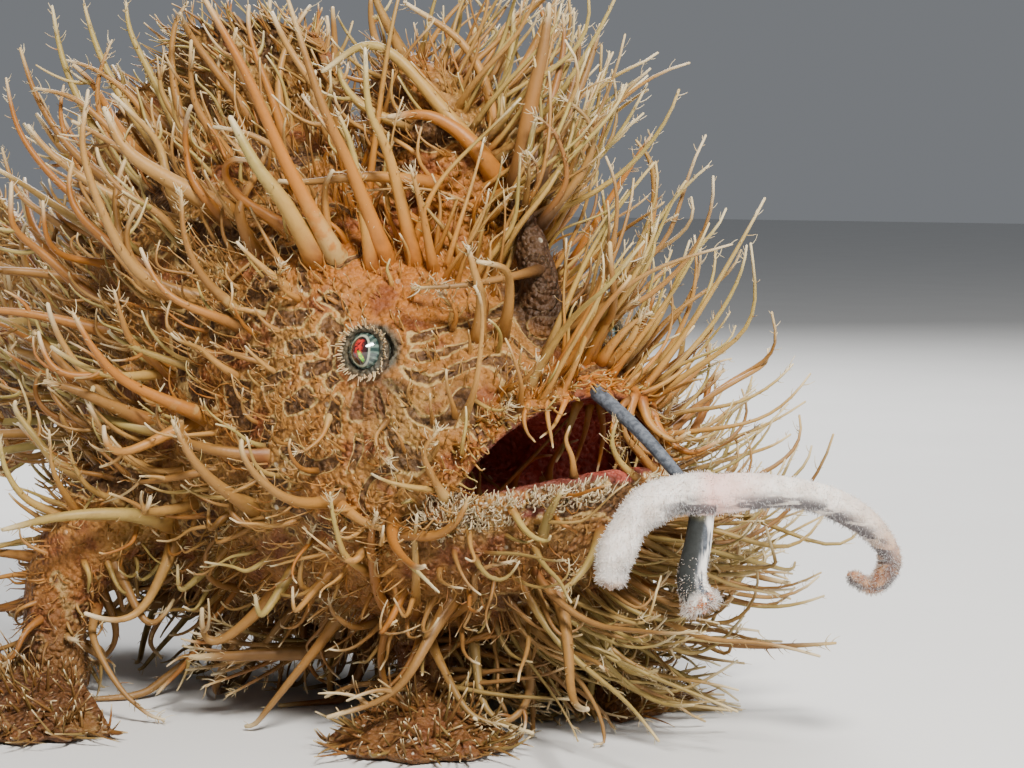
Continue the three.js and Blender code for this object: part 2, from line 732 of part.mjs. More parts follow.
function keep(owner, hair, bunch) {
  if (!isFree(owner, hair, bunch)) return false;
  grown.push({ owner, hair, bunch, points: alongHair(hair) });
  return true;
}

// The place on the body's skin at y, so many degrees round its section from the widest point.
function onBody(side, y, degrees) {
  const { half, top, bottom, middle } = section(y);
  const power = 2 / SQUARENESS;
  const [c, s] = [Math.cos((degrees * Math.PI) / 180), Math.sin((degrees * Math.PI) / 180)];
  const reach = s > 0 ? top - middle : middle - bottom;
  const root = V(side * half * c ** power, y, middle + reach * Math.sign(s) * Math.abs(s) ** power);
  const step = 0.01;
  const slope = (dx, dy, dz) =>
    depthIn(root.x + dx, root.y + dy, root.z + dz) - depthIn(root.x - dx, root.y - dy, root.z - dz);
  return { root, normal: V(slope(step, 0, 0), slope(0, step, 0), slope(0, 0, step)).normalize() };
}

// Filaments in their named places: a crown on the second spine, a row above each eye, a cluster
// on each cheek and a fringe under the lower lip.
function crownHairs() {
  const top = vec(SPINE_2.tip).add(V(0, 0, -2.2));
  const count = 7;
  for (let i = 0; i < count; i++) {
    const turn = (2 * Math.PI * i) / count + 0.4;
    const [x, y] = [Math.cos(turn), Math.sin(turn)];
    const spread = i ? 0.55 : 0.1;
    const back = y > 0 ? 0.3 * y : y;
    const out = V(spread * x, spread * back, 1).normalize();
    const lean = V(0.75 * x, 0.6 * back, 0.8).normalize();
    const root = top.clone().add(V(0.9 * x, 0.9 * y, 0));
    keep("second_dorsal_spine", makeHair(root, out, out, lean, 19 + 3 * Math.sin(2.1 * i), 1.3), "crown");
  }
}

function browHairs(side) {
  for (const y of [-49, -43, -37, -31, -25]) {
    const { root, normal } = onBody(side, y, 58);
    const out = normal.clone().lerp(V(0, 0.3, 1), 0.45).normalize();
    const lean = V(side * 0.12, 0.5, 0.86).normalize();
    keep("head", makeHair(root, normal, out, lean, 21 + 2 * Math.sin(2.3 * y), 1.5));
  }
}

function cheekHairs(side) {
  for (let i = 0; i < 7; i++) {
    const turn = 0.9 * i;
    const { root, normal } = onBody(side, -37 + 2.2 * Math.cos(turn), -6 + 5 * Math.sin(turn));
    const lean = V(side * 0.5, Math.cos(turn), Math.sin(turn)).normalize();
    keep("head", makeHair(root, normal, normal, lean, 13, 1.1));
  }
}

function lipHairs(side) {
  for (const x of [1, 5.5, 10, 14.5]) {
    const out = V(side * x * 0.03, -0.8, -0.35).normalize();
    const lean = V(side * x * 0.04, -0.5, -0.8).normalize();
    keep("lower_jaw", makeHair(onSnout(side * x, 26), V(0, -1, 0), out, lean, 12, 1.1));
  }
}

// Long filaments that stand out from a cheek and the side of the jaw.
function fringeHairs(side) {
  for (const degrees of [-40, -14, 12, 38]) {
    for (const y of [-50, -43, -36]) {
      const { root, normal } = onBody(side, y + 0.06 * degrees, degrees);
      const heel = JAW.corner + ((JAW.level - root.z) * (JAW.heel - JAW.corner)) / JAW.level;
      const owner = root.z < mouthLine(root.y) && root.y < heel ? "lower_jaw" : "head";
      const out = normal.clone().add(V(side * 0.3, 0, 0.1)).normalize();
      const lean = V(side * 0.8, -0.25, 0.35 + 0.012 * degrees).normalize();
      keep(owner, makeHair(root, normal, out, lean, 26 + 2 * Math.sin(3 * y), 1.3));
    }
  }
}

// The rest of a piece's filaments, spread over its skin.
function sownHairs(name, { count, long, thick }, seed) {
  const random = seeded(seed);
  const { solid, material } = pieces.get(name);
  const sampler = new MeshSurfaceSampler(new THREE.Mesh(geometryOf(solid), material));
  sampler.setRandomGenerator(random).build();
  const onBodySkin = ["head", "lower_jaw", "torso", "tail_stalk"].includes(name);
  const [root, normal] = [V(0, 0, 0), V(0, 0, 0)];
  for (let made = 0, tries = 0; made < count && tries < 60 * count; tries++) {
    sampler.sample(root, normal);
    const [size, wave, turn] = [random(), random(), random()];
    if (onBodySkin && !onSkin(root)) continue;
    if (grown.some(({ hair }) => hair.root.distanceTo(root) < ROOM)) continue;
    const length = mix(...long, size);
    const sway = V(wave - 0.5, 0.7 * (turn - 0.5), wave + turn - 1);
    const out = normal.clone().addScaledVector(lieAt(root), 0.35).addScaledVector(sway, 0.4).normalize();
    const lean = normal.clone().multiplyScalar(0.45).add(lieAt(root)).addScaledVector(sway, 0.9).normalize();
    if (keep(name, makeHair(root, normal, out, lean, length, mix(...thick, size)))) made += 1;
  }
}

crownHairs();
for (const side of [-1, 1]) {
  browHairs(side);
  cheekHairs(side);
  lipHairs(side);
}
fringeHairs(1);
Object.entries(COAT).forEach(([name, coat], i) => sownHairs(name, coat, 11 + i));

const fish = new THREE.Group();
fish.name = "hairy_frogfish";
for (const [name, { solid, material }] of pieces) {
  const hairs = grown.filter(({ owner }) => owner === name).map(({ hair }) => filament(hair));
  const mesh = new THREE.Mesh(geometryOf(largest(join(solid, ...hairs))), material);
  mesh.name = name;
  fish.add(mesh);
}

// The origin is on the floor, under the middle of everything that reaches out.
const reach = new THREE.Box3().setFromObject(fish);
fish.position.set(-(reach.min.x + reach.max.x) / 2, -(reach.min.y + reach.max.y) / 2, 0);

export default fish;
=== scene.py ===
import math
import bpy
import numpy as np
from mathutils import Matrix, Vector
from mathutils.bvhtree import BVHTree


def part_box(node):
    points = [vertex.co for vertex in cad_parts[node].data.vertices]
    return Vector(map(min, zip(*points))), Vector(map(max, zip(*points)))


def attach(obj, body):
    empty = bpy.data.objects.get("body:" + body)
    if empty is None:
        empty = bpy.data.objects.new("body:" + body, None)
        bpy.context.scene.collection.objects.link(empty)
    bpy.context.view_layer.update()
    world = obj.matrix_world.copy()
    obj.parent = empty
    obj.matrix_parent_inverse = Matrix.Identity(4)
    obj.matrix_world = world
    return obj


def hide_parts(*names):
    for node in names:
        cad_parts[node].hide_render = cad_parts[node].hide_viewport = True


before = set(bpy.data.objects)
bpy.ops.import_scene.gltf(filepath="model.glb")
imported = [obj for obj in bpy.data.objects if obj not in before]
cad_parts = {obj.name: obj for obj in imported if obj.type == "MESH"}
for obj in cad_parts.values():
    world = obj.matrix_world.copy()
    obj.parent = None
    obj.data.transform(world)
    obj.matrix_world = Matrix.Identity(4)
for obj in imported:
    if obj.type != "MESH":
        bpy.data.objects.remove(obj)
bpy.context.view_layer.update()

# Hairy frogfish. Everything is worked out in millimetres with the fish facing -Y and its right
# side at -X, then moved by shiftMm and written in metres.
body = {
    # y, half width, top, bottom, from the lower lip to the root of the tail fin
    "sections": [
        (-59.4, 2.5, 34.5, 28.5), (-58.3, 6.5, 38.5, 25), (-56, 11, 42.2, 20.8), (-52, 16, 46, 16.8),
        (-46, 20.8, 51.5, 13.6), (-36, 25.2, 60.5, 10.8), (-24, 27.4, 69, 9), (-10, 28, 75, 8),
        (4, 27.4, 76.6, 8.2), (18, 23.8, 73.5, 11.5), (32, 16.8, 65, 20), (44, 10.4, 56.5, 30),
        (54, 6.8, 52.2, 34), (60, 5.4, 51, 35),
    ],
    "squareness": 2.2,
    "waist": 0.45,      # where a section is widest, as a share of its height
    "inset": 0.35,      # the skin lies this far inside the solids
    "cell": 0.62,       # size of the skin's faces
    "folds": 0.5,       # how far the soft folds move the skin
    "warts": 0.32,
}
mouth = {"half": 18.0, "floor": 30.4, "height": 12.3, "depth": 14.0, "front": -53, "bowl": (14.2, 7.8, 5.0),
         "corner": -43.5, "level": 27.6, "rise": 0.3, "upperLip": 1.3, "lowerLip": 1.9}
eye = {"x": 20.4, "y": -37.2, "z": 48.1, "radius": 2.6, "axis": (1, -0.3, 0.12), "lid": 0.72}
spineTwo = {"path": [(0, -46.5, 46), (0, -46, 52), (0, -45, 58), (0, -41.5, 67)],
            "radii": [3.2, 3.0, 2.5, 1.6]}
spineThree = {"path": [(0, -29, 60), (0, -28.5, 69), (0, -25.5, 76), (0, -20.5, 80)],
              "radii": [9.6, 8.6, 7.2, 5.2], "narrow": 1.4}
arm = {"path": [(20, 0, 29), (27, 3.6, 26), (32, 7, 20), (35, 7.8, 13), (36, 7, 5)],
       "radii": [8.3, 7.0, 5.6, 4.7, 4.2]}
leg = {"path": [(8, -33, 14), (12, -38, 1.6)], "radii": [4.4, 3.0]}
lure = {"knot": (0.3, -71, 31.6), "rod": 0.95, "start": [(0, -52.4, 44.0), (0, -54.4, 43.4)],
        "way": [(0.4, -62, 38.6), (0.3, -71, 31.6)]}
view = {"target": (-6.65, -47.4, 44), "azimuth": -45.0, "elevation": 5.0, "away": 280.0, "lens": 81.7,
        "sensor": 36, "wide": 1024, "high": 768}
tuftPatch = 0.003       # side of each tuft's own patch of the map
onFloor = 0.3           # the skin's lowest level

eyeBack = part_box("right_eye")[1].y * 1000
shiftMm = np.array([0.0, eyeBack - (eye["y"] + eye["radius"]), 0.0])
print("frame loaded, shift", shiftMm)


# Small helpers

def unit(v):
    v = np.asarray(v, float)
    return v / (np.linalg.norm(v, axis=-1, keepdims=True) + 1e-12)


def step(low, high, v):
    t = np.clip((v - low) / (high - low), 0, 1)
    return t * t * (3 - 2 * t)


def mix(a, b, t):
    return a + (b - a) * t


def toWorld(points):
    return (np.asarray(points, float) + shiftMm) / 1000


def noise(points, size, seed=0):
    # a value from -1 to 1 that changes smoothly over about size millimetres
    q = np.asarray(points, float) / size + seed * 17.31
    cell = np.floor(q).astype(np.int64)
    f = q - cell
    f = f * f * (3 - 2 * f)
    total = np.zeros(len(q))
    for dx in (0, 1):
        for dy in (0, 1):
            for dz in (0, 1):
                c = cell + (dx, dy, dz)
                h = c[:, 0] * 374761393 + c[:, 1] * 668265263 + c[:, 2] * 2147483647 + seed * 974711
                h = h & 0xFFFFFFFF
                h = ((h ^ (h >> 13)) * 1274126177) & 0xFFFFFFFF
                h = ((h ^ (h >> 16)) & 0xFFFF) / 32767.5 - 1
                w = (f[:, 0] if dx else 1 - f[:, 0]) * (f[:, 1] if dy else 1 - f[:, 1])
                total += h * w * (f[:, 2] if dz else 1 - f[:, 2])
    return total


# The body's own form

stations = np.array(body["sections"], float)


def measure(y):
    # half width, top, bottom and middle of the body's section at y
    y = np.atleast_1d(np.asarray(y, float))
    at = stations[:, 0]
    i = np.clip(np.searchsorted(at, y) - 1, 0, len(at) - 2)
    before, after = np.maximum(np.arange(len(at)) - 1, 0), np.minimum(np.arange(len(at)) + 1, len(at) - 1)
    slope = (stations[after, 1:] - stations[before, 1:]) / (at[after] - at[before])[:, None]
    span = (at[i + 1] - at[i])[:, None]
    t = np.clip((y - at[i])[:, None] / span, 0, 1)
    a, rise = stations[i, 1:], stations[i + 1, 1:] - stations[i, 1:]
    m0, m1 = slope[i] * span, slope[i + 1] * span
    half, top, bottom = (a + t * (m0 + t * (3 * rise - 2 * m0 - m1 + t * (m0 + m1 - 2 * rise)))).T
    return half, top, bottom, mix(bottom, top, body["waist"])


def depthIn(points):
    # under 1 inside the body, over 1 outside it
    x, y, z = np.asarray(points, float).T
    half, top, bottom, middle = measure(y)
    reach = np.where(z > middle, top - middle, middle - bottom)
    p = body["squareness"]
    return np.abs(x / half) ** p + np.abs((z - middle) / reach) ** p


def onSnout(x, z):
    # the skin seen straight from the front at x, z
    out, inside = stations[0, 0], -25.0
    for _ in range(30):
        y = (out + inside) / 2
        if depthIn([(x, y, z)])[0] < 1:
            inside = y
        else:
            out = y
    return np.array([x, inside, z])


def onBody(side, y, degrees):
    # the skin at y, so many degrees round its section from the widest point, and its normal
    half, top, bottom, middle = (v[0] for v in measure(y))
    c, s = math.cos(math.radians(degrees)), math.sin(math.radians(degrees))
    power = 2 / body["squareness"]
    reach = top - middle if s > 0 else middle - bottom
    root = np.array([side * half * c ** power, y, middle + reach * math.copysign(abs(s) ** power, s)])
    return root, bodyNormal(root[None])[0]


def bodyNormal(points):
    d = 0.05
    grow = [depthIn(points + np.eye(3)[k] * d) - depthIn(points - np.eye(3)[k] * d) for k in range(3)]
    return unit(np.stack(grow, 1))


def mouthLine(y):
    return mouth["level"] - mouth["rise"] * (y - mouth["corner"])


def curve(points, count):
    # count points along a smooth curve through the given ones
    p = np.asarray(points, float)
    p = np.vstack([2 * p[0] - p[1], p, 2 * p[-1] - p[-2]])
    u = np.linspace(0, len(p) - 3 - 1e-9, count)
    i, t = u.astype(int), (u % 1)[:, None]
    a, b, c, d = p[i], p[i + 1], p[i + 2], p[i + 3]
    return 0.5 * (2 * b + t * (c - a + t * (2 * a - 5 * b + 4 * c - d + t * (3 * b - a - 3 * c + d))))


def along(values, count):
    return np.interp(np.linspace(0, 1, count), np.linspace(0, 1, len(values)), values)


def eyeCentre(side):
    return np.array([side * eye["x"], eye["y"], eye["z"]])


def eyeAxis(side):
    return unit(np.array([side * eye["axis"][0], eye["axis"][1], eye["axis"][2]]))


# A distance field on a grid, under 0 inside the fish, whose zero level is the skin

class Field:
    def __init__(self, low, high, cell):
        self.low, self.cell = np.array(low, float), cell
        self.size = np.ceil((np.array(high) - low) / cell).astype(int) + 1
        self.axes = [self.low[k] + cell * np.arange(self.size[k]) for k in range(3)]
        self.value = np.full(self.size, 50.0, np.float32)

    def window(self, points, reach):
        p = np.atleast_2d(points)
        a = np.clip(((p.min(0) - reach - self.low) / self.cell).astype(int), 0, self.size - 1)
        b = np.clip(((p.max(0) + reach - self.low) / self.cell).astype(int) + 2, 1, self.size)
        part = tuple(slice(a[k], b[k]) for k in range(3))
        grid = np.stack(np.meshgrid(*(self.axes[k][part[k]] for k in range(3)), indexing="ij"), -1)
        return part, grid

    def add(self, part, distance, blend):
        self.value[part] = blendLow(self.value[part], distance, blend)

    def cut(self, part, distance, blend):
        self.value[part] = -blendLow(-self.value[part], distance, blend)

    def chain(self, points, radii, blend, narrow=1.0):
        # a bent, tapering limb, narrow times thinner across the fish than along it
        part, grid = self.window(points, max(radii) + 3 * blend + 2)
        scale = np.array([narrow, 1, 1])
        grid, points = grid * scale, np.asarray(points, float) * scale
        best = np.full(grid.shape[:3], 60.0)
        for a, b, ra, rb in zip(points[:-1], points[1:], radii[:-1], radii[1:]):
            ab = b - a
            t = np.clip(((grid - a) @ ab) / (ab @ ab), 0, 1)
            gap = np.linalg.norm(grid - a - t[..., None] * ab, axis=-1) - (ra + (rb - ra) * t)
            best = np.minimum(best, gap)
        self.add(part, best / narrow ** 0.5, blend)

    def ring(self, centre, axis, radius, thick, blend):
        part, grid = self.window(centre, radius + 3 * blend + 2)
        p = grid - centre
        up = p @ axis
        flat = np.linalg.norm(p - up[..., None] * axis, axis=-1)
        self.add(part, np.hypot(flat - radius, up) - thick, blend)

    def surface(self):
        # the zero level as points and four-cornered faces
        v = self.value
        inside = v < 0
        n = np.array(v.shape) - 1
        corners = sum(inside[a:n[0] + a, b:n[1] + b, c:n[2] + c].astype(np.int8)
                      for a in (0, 1) for b in (0, 1) for c in (0, 1))
        active = (corners > 0) & (corners < 8)
        number = np.full(active.shape, -1, np.int64)
        cells = np.argwhere(active)
        number[active] = np.arange(len(cells))
        total, hits = np.zeros((len(cells), 3)), np.zeros(len(cells))
        for axis in range(3):
            others = [k for k in range(3) if k != axis]
            for i in (0, 1):
                for j in (0, 1):
                    off = np.zeros(3, int)
                    off[others[0]], off[others[1]] = i, j
                    p = cells + off
                    q = p + np.eye(3, dtype=int)[axis]
                    a, b = v[tuple(p.T)], v[tuple(q.T)]
                    crossing = (a < 0) != (b < 0)
                    t = np.where(crossing, a / np.where(a == b, 1, a - b), 0)
                    place = p.astype(float)
                    place[:, axis] += t
                    total[crossing] += place[crossing]
                    hits += crossing
        points = self.low + self.cell * total / hits[:, None]
        faces = []
        for axis in range(3):
            o1, o2 = [k for k in range(3) if k != axis]
            ahead = [slice(None)] * 3
            behind = [slice(None)] * 3
            ahead[axis], behind[axis] = slice(1, None), slice(None, -1)
            change = inside[tuple(behind)] != inside[tuple(ahead)]
            at = np.argwhere(change)
            at = at[(at[:, o1] > 0) & (at[:, o2] > 0) & (at[:, o1] < n[o1]) & (at[:, o2] < n[o2])]
            leaving = inside[tuple(at.T)]
            quad = []
            for da, db in ((1, 1), (0, 1), (0, 0), (1, 0)):
                beside = at.copy()
                beside[:, o1] -= da
                beside[:, o2] -= db
                quad.append(number[tuple(beside.T)])
            quad = np.stack(quad, 1)
            turned = leaving if axis != 1 else ~leaving
            quad[~turned] = quad[~turned][:, ::-1]
            faces.append(quad)
        return points, np.vstack(faces)


def blendLow(a, b, k):
    if k <= 0:
        return np.minimum(a, b)
    h = np.clip(0.5 + 0.5 * (b - a) / k, 0, 1)
    return mix(b, a, h) - k * h * (1 - h)


def ellipsoidDistance(grid, centre, reach):
    q = np.linalg.norm((grid - centre) / reach, axis=-1)
    return (q - 1) * min(reach)


def bodyField():
    field = Field((-47, -62, 0.4), (47, 62.5, 92), body["cell"])
    x, y, z = field.axes
    half, top, bottom, middle = measure(y)
    reach = np.where(z[None, :] > middle[:, None], (top - middle)[:, None], (middle - bottom)[:, None])
    up = z[None, :] - middle[:, None]
    p = body["squareness"]
    across = np.abs(x[:, None] / half[None, :]) ** p
    ratio = (across[:, :, None] + np.abs(up / reach)[None] ** p) ** (1 / p)
    radial = np.sqrt(x[:, None, None] ** 2 + up[None] ** 2)
    value = (ratio - 1) / np.maximum(ratio, 0.03) * radial
    value = np.maximum(value, (stations[0, 0] - y)[None, :, None])
    value = np.maximum(value, (y - 60)[None, :, None])
    field.value = (value + body["inset"]).astype(np.float32)

    for side in (-1, 1):
        flip = np.array([side, 1, 1])
        field.chain(curve(np.array(arm["path"]) * flip, 12), along(arm["radii"], 12), 2.5)
        field.chain(np.array(leg["path"]) * flip, leg["radii"], 2)
        out = onBody(side, 17, -34)
        field.ring(out[0], out[1], 1.5, 0.6, 0.5)
    field.chain(curve(spineThree["path"], 10), along(spineThree["radii"], 10), 3.5, spineThree["narrow"])
    field.chain(curve(spineTwo["path"], 10), along(spineTwo["radii"], 10), 1.6)
    field.chain([(0, -51, 42.5), (0, -54.2, 44.2)], [3.2, 1.5], 1.5)     # the knob that carries the rod

    centre = np.array([0, mouth["front"], mouth["floor"]])
    reach = np.array([mouth["half"] + 3, 20, 15])
    part, grid = field.window([centre - reach, centre + reach], 1)
    hollow = ellipsoidDistance(grid, centre, (mouth["half"], mouth["depth"], mouth["height"]))
    hollow = np.maximum(hollow, mouthLine(grid[..., 1]) - grid[..., 2])
    hollow = np.minimum(hollow, ellipsoidDistance(grid, (0, -49.5, mouth["floor"] + 0.6), mouth["bowl"]))
    throat = ellipsoidDistance(grid, (-1, -40, 34.5), (6.4, 9, 4.0))
    field.cut(part, blendLow(hollow, throat, 2), 1.2)

    angles = np.linspace(0, math.pi, 13)
    wide, high, low = mouth["half"] + 0.8, mouth["height"] + 2.2, mouth["floor"] - 1.5
    arch = [onSnout(wide * math.cos(a), low + high * math.sin(a)) + (0, 0.9, 0) for a in angles]
    field.chain(arch, [mouth["upperLip"] - 0.2] * len(arch), 0.9)
    lower = []
    for a in angles:
        p = onSnout((mouth["half"] + 1.6) * math.cos(a), mouthLine(-56))
        lower.append((p[0], p[1] + 1.2, mouthLine(p[1])))
    field.chain(lower, [(mouth["lowerLip"] - 0.2) * (0.72 + 0.28 * math.sin(a)) for a in angles], 0.8)

    for side in (-1, 1):
        centre, axis = eyeCentre(side), eyeAxis(side)
        part, grid = field.window(centre, 8)
        field.cut(part, np.linalg.norm(grid - centre, axis=-1) - eye["radius"] - 0.2, 0.3)
        field.ring(centre + axis * 1.15, axis, eye["radius"] + 0.15, eye["lid"], 0.7)
        for x, z in ((5.6, 46.2), (13.2, 50.5)):
            at = onSnout(side * x, z)
            field.ring(at, bodyNormal(at[None])[0], 0.95, 0.42, 0.5)
    return field


# Camera, and where a pixel of the photo's frame lies

turn, rise = math.radians(view["azimuth"]), math.radians(view["elevation"])
toCamera = np.array([math.sin(turn) * math.cos(rise), -math.cos(turn) * math.cos(rise), math.sin(rise)])
cameraPlace = np.array(view["target"]) + toCamera * view["away"]
imageRight = np.array([math.cos(turn), math.sin(turn), 0.0])
imageUp = np.cross(toCamera, imageRight)
pixelsAtOne = view["lens"] / view["sensor"] * view["wide"]
middlePixel = (view["wide"] / 2, view["high"] / 2)


def toPixels(points):
    # the pixels where points show, and how deep they lie along the view
    p = np.asarray(points, float) - cameraPlace
    depth = -(p @ toCamera)
    x = middlePixel[0] + pixelsAtOne * (p @ imageRight) / depth
    y = middlePixel[1] - pixelsAtOne * (p @ imageUp) / depth
    return np.stack([x, y], -1), depth


def rayThrough(pixel):
    x, y = (pixel[0] - middlePixel[0]) / pixelsAtOne, (middlePixel[1] - pixel[1]) / pixelsAtOne
    return unit(imageRight * x + imageUp * y - toCamera)


def addCamera():
    lens = bpy.data.cameras.new("photoView")
    lens.lens, lens.sensor_width = view["lens"], view["sensor"]
    lens.clip_start, lens.clip_end = 0.01, 20
    camera = bpy.data.objects.new("photoView", lens)
    camera.location = toWorld(cameraPlace)
    camera.rotation_euler = Vector(-toCamera).to_track_quat("-Z", "Y").to_euler()
    bpy.context.scene.collection.objects.link(camera)
    bpy.context.scene.camera = camera
    print("camera", view["azimuth"], "degrees round,", view["elevation"], "up")


# Markings of the skin and its painted shade, which the coat takes from its roots

marking = {
    "bars": 16,            # dark bars round each eye
    "barFrom": 4.6,        # they begin this far from the middle of the eye
    "barTo": 27.0,
    "barHalf": 0.42,       # half a bar's width near the eye
    "blotch": 6.0,         # size of the blotches on the body
    "patchAt": (1.2, -6.0),     # the dark patch below each eye: ahead of it and above it
    "patchReach": (3.4, 3.0),
    "glowAt": (13, -34, 62),
    "glowReach": 20.0,
}


def markings(points):
    # for each point: how far inside a dark mark it is in millimetres, then from 0 to 1 orange glow,
    # red mouth, eye ring, pale lip, dark column, painted shade on the underside and chin joined by the
    # dark patch below each eye, and the depth of the throat
    p = np.asarray(points, float)
    side = np.where(p[:, 0] < 0, -1.0, 1.0)
    centre = np.stack([side * eye["x"], np.full(len(p), eye["y"]), np.full(len(p), eye["z"])], 1)
    axis = unit(np.stack([side * eye["axis"][0], np.full(len(p), eye["axis"][1]),
                          np.full(len(p), eye["axis"][2])], 1))
    off = p - centre
    off = off - (off * axis).sum(1, keepdims=True) * axis
    ahead = unit(np.array([[0, -1.0, 0]]) - (-axis[:, 1:2]) * axis)
    up = np.cross(ahead, axis) * side[:, None]
    away = np.linalg.norm(off, axis=1) + 1e-6
    forward, upward = (off * ahead).sum(1), (off * up).sum(1)
    angle = np.arctan2(upward, forward) + 0.65 * noise(p, 6.5, 1) * step(5, 14, away)
    share = angle * marking["bars"] / (2 * math.pi)
    aside = np.abs((share + 0.5) % 1 - 0.5) * 2 * math.pi / marking["bars"] * away
    bar = marking["barHalf"] + 0.036 * (away - marking["barFrom"]) + 0.42 * noise(p, 2.6, 2) - aside
    bar = bar - 3 * step(0.6, 0.85, angle) * step(2.4, 2.1, angle)      # none above the eye
    number = np.floor(share + 0.5)
    beads = 1.5 - np.abs((away / 6.2 + 0.37 * number) % 1 - 0.5) * 4.4
    bar = np.where(forward < 1, np.minimum(bar + 0.35, beads), bar)
    bar = np.minimum(bar, (away - marking["barFrom"]) * 0.8)
    drift = np.stack([noise(p, 11, 3), noise(p, 11, 4), noise(p, 11, 5)], 1)
    stretched = p * np.array([1, 0.5, 1]) + 2.2 * drift
    blotch = (noise(stretched, marking["blotch"], 6) + 0.4 * noise(p, 2.6, 7) - 0.3) * 2.6
    inside = mix(bar, blotch, step(marking["barTo"] - 5, marking["barTo"], away + 3 * noise(p, 6, 8)))

    hump = np.linalg.norm(np.abs(p) * (1, 0, 0) + p * (0, 1, 1) - marking["glowAt"], axis=1)
    glow = np.clip(1.1 - hump / marking["glowReach"], 0, 1) * 0.9 + 0.35 * step(0.1, 0.7, noise(p, 13, 9))
    glow = np.clip(glow + 0.5 * step(-44, -52, p[:, 1]) * step(28, 36, p[:, 2]), 0, 1)
    glow = np.maximum(glow, step(6, 4, np.linalg.norm(p - (0, -54.4, 44), axis=1)))

    hollow = np.linalg.norm((p - (0, mouth["front"], mouth["floor"])) /
                            (mouth["half"] + 1, mouth["depth"] + 1, mouth["height"] + 1), axis=1)
    hollow = np.where(p[:, 2] > mouthLine(p[:, 1]) + 0.3, hollow, 2)
    bowl = np.linalg.norm((p - (0, -49.5, mouth["floor"] + 0.6)) / (np.array(mouth["bowl"]) + 0.9), axis=1)
    throat = np.linalg.norm((p - (-1, -40, 34.5)) / (7, 10, 4.8), axis=1)
    skinDepth = depthIn(p)
    red = step(0.97, 0.86, skinDepth) * (np.minimum(np.minimum(hollow, bowl), throat) < 1.03)
    ring = step(eye["radius"] + 1.7, eye["radius"] + 0.7, np.linalg.norm(p - centre, axis=1))
    lip = step(3.4, 1.6, np.abs(p[:, 2] - mouthLine(p[:, 1]) - 0.3)) * step(-45, -49, p[:, 1])
    lip = lip * step(0.72, 0.9, skinDepth)
    column = step(4.4, 2.4, np.abs(p[:, 0])) * step(-39, -42, p[:, 1]) * step(46, 52, p[:, 2])
    stripe = np.hypot((forward - 4.2) / 2.8, (upward + 2.6 + 0.3 * forward) / 1.1)
    column = np.maximum(column, 0.8 * step(1, 0.5, stripe))
    # painted shade: darker towards the belly and on the chin under the lower lip, then the dark patch below
    # each eye
    shadeAndPatch = step(27, 9, p[:, 2] + 4 * noise(p, 9, 10))
    shadeAndPatch = np.maximum(shadeAndPatch, 0.6 * step(-42, -48, p[:, 1]) * step(31, 27, p[:, 2]))
    fromPatch = (np.stack([forward, upward], 1) - marking["patchAt"]) / marking["patchReach"]
    patch = np.hypot(fromPatch[:, 0], fromPatch[:, 1]) + 0.3 * noise(p, 2.2, 11)
    shadeAndPatch = np.maximum(shadeAndPatch, step(1.05, 0.6, patch))
    deep = step(0.9, 0.1, skinDepth)
    shadeAndPatch = shadeAndPatch * (1 - lip) * (1 - red)
    return np.stack([inside, glow, red, ring, lip * (1 - red), column, shadeAndPatch, deep], 1)


# Meshes from arrays

def unwrap(points):
    # a place from 0 to 1 each way on the skin laid out flat: along the fish, and round it
    p = np.asarray(points, float)
    middle = measure(p[:, 1])[3]
    turned = np.arctan2(p[:, 0], p[:, 2] - middle) / (2 * math.pi) + 0.5
    return np.stack([0.02 + 0.96 * (p[:, 1] + 92) / 184, 0.02 + 0.96 * turned], 1)


def makePiece(name, points, faces, colours, uv=None):
    # faces is a list of arrays, one for each number of corners; colours maps names to rows of four
    mesh = bpy.data.meshes.new(name)
    corners = np.concatenate([f.reshape(-1) for f in faces]).astype(np.int32)
    counts = np.concatenate([np.full(len(f), f.shape[1], np.int32) for f in faces])
    mesh.vertices.add(len(points))
    mesh.vertices.foreach_set("co", toWorld(points).astype(np.float32).reshape(-1))
    mesh.loops.add(len(corners))
    mesh.loops.foreach_set("vertex_index", corners)
    mesh.polygons.add(len(counts))
    starts = np.concatenate([[0], np.cumsum(counts)[:-1]])
    mesh.polygons.foreach_set("loop_start", starts.astype(np.int32))
    mesh.polygons.foreach_set("loop_total", counts)
    mesh.polygons.foreach_set("use_smooth", np.full(len(counts), True))
    mesh.update(calc_edges=True)
    if uv is not None:
        layer = mesh.uv_layers.new(name="OFBake")
        rows = np.concatenate([u.reshape(-1, 2) for u in uv])
        layer.data.foreach_set("uv", rows.astype(np.float32).reshape(-1))
    for key, rows in colours.items():
        layer = mesh.attributes.new(key, "FLOAT_COLOR", "POINT")
        layer.data.foreach_set("color", np.asarray(rows, np.float32).reshape(-1))
    piece = bpy.data.objects.new(name, mesh)
    bpy.context.scene.collection.objects.link(piece)
    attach(piece, "root")
    return piece


def finishPiece(piece, material, slotName, *nodes):
    piece.data.materials.append(material)
    if nodes:
        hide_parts(*nodes)
    return piece


def markColours(points):
    m = markings(points)
    inside = np.clip(0.5 + m[:, 0] / 6, 0, 1)
    return {"marks": np.stack([inside, m[:, 1], m[:, 2], m[:, 3]], 1),
            "marksToo": m[:, 4:8]}


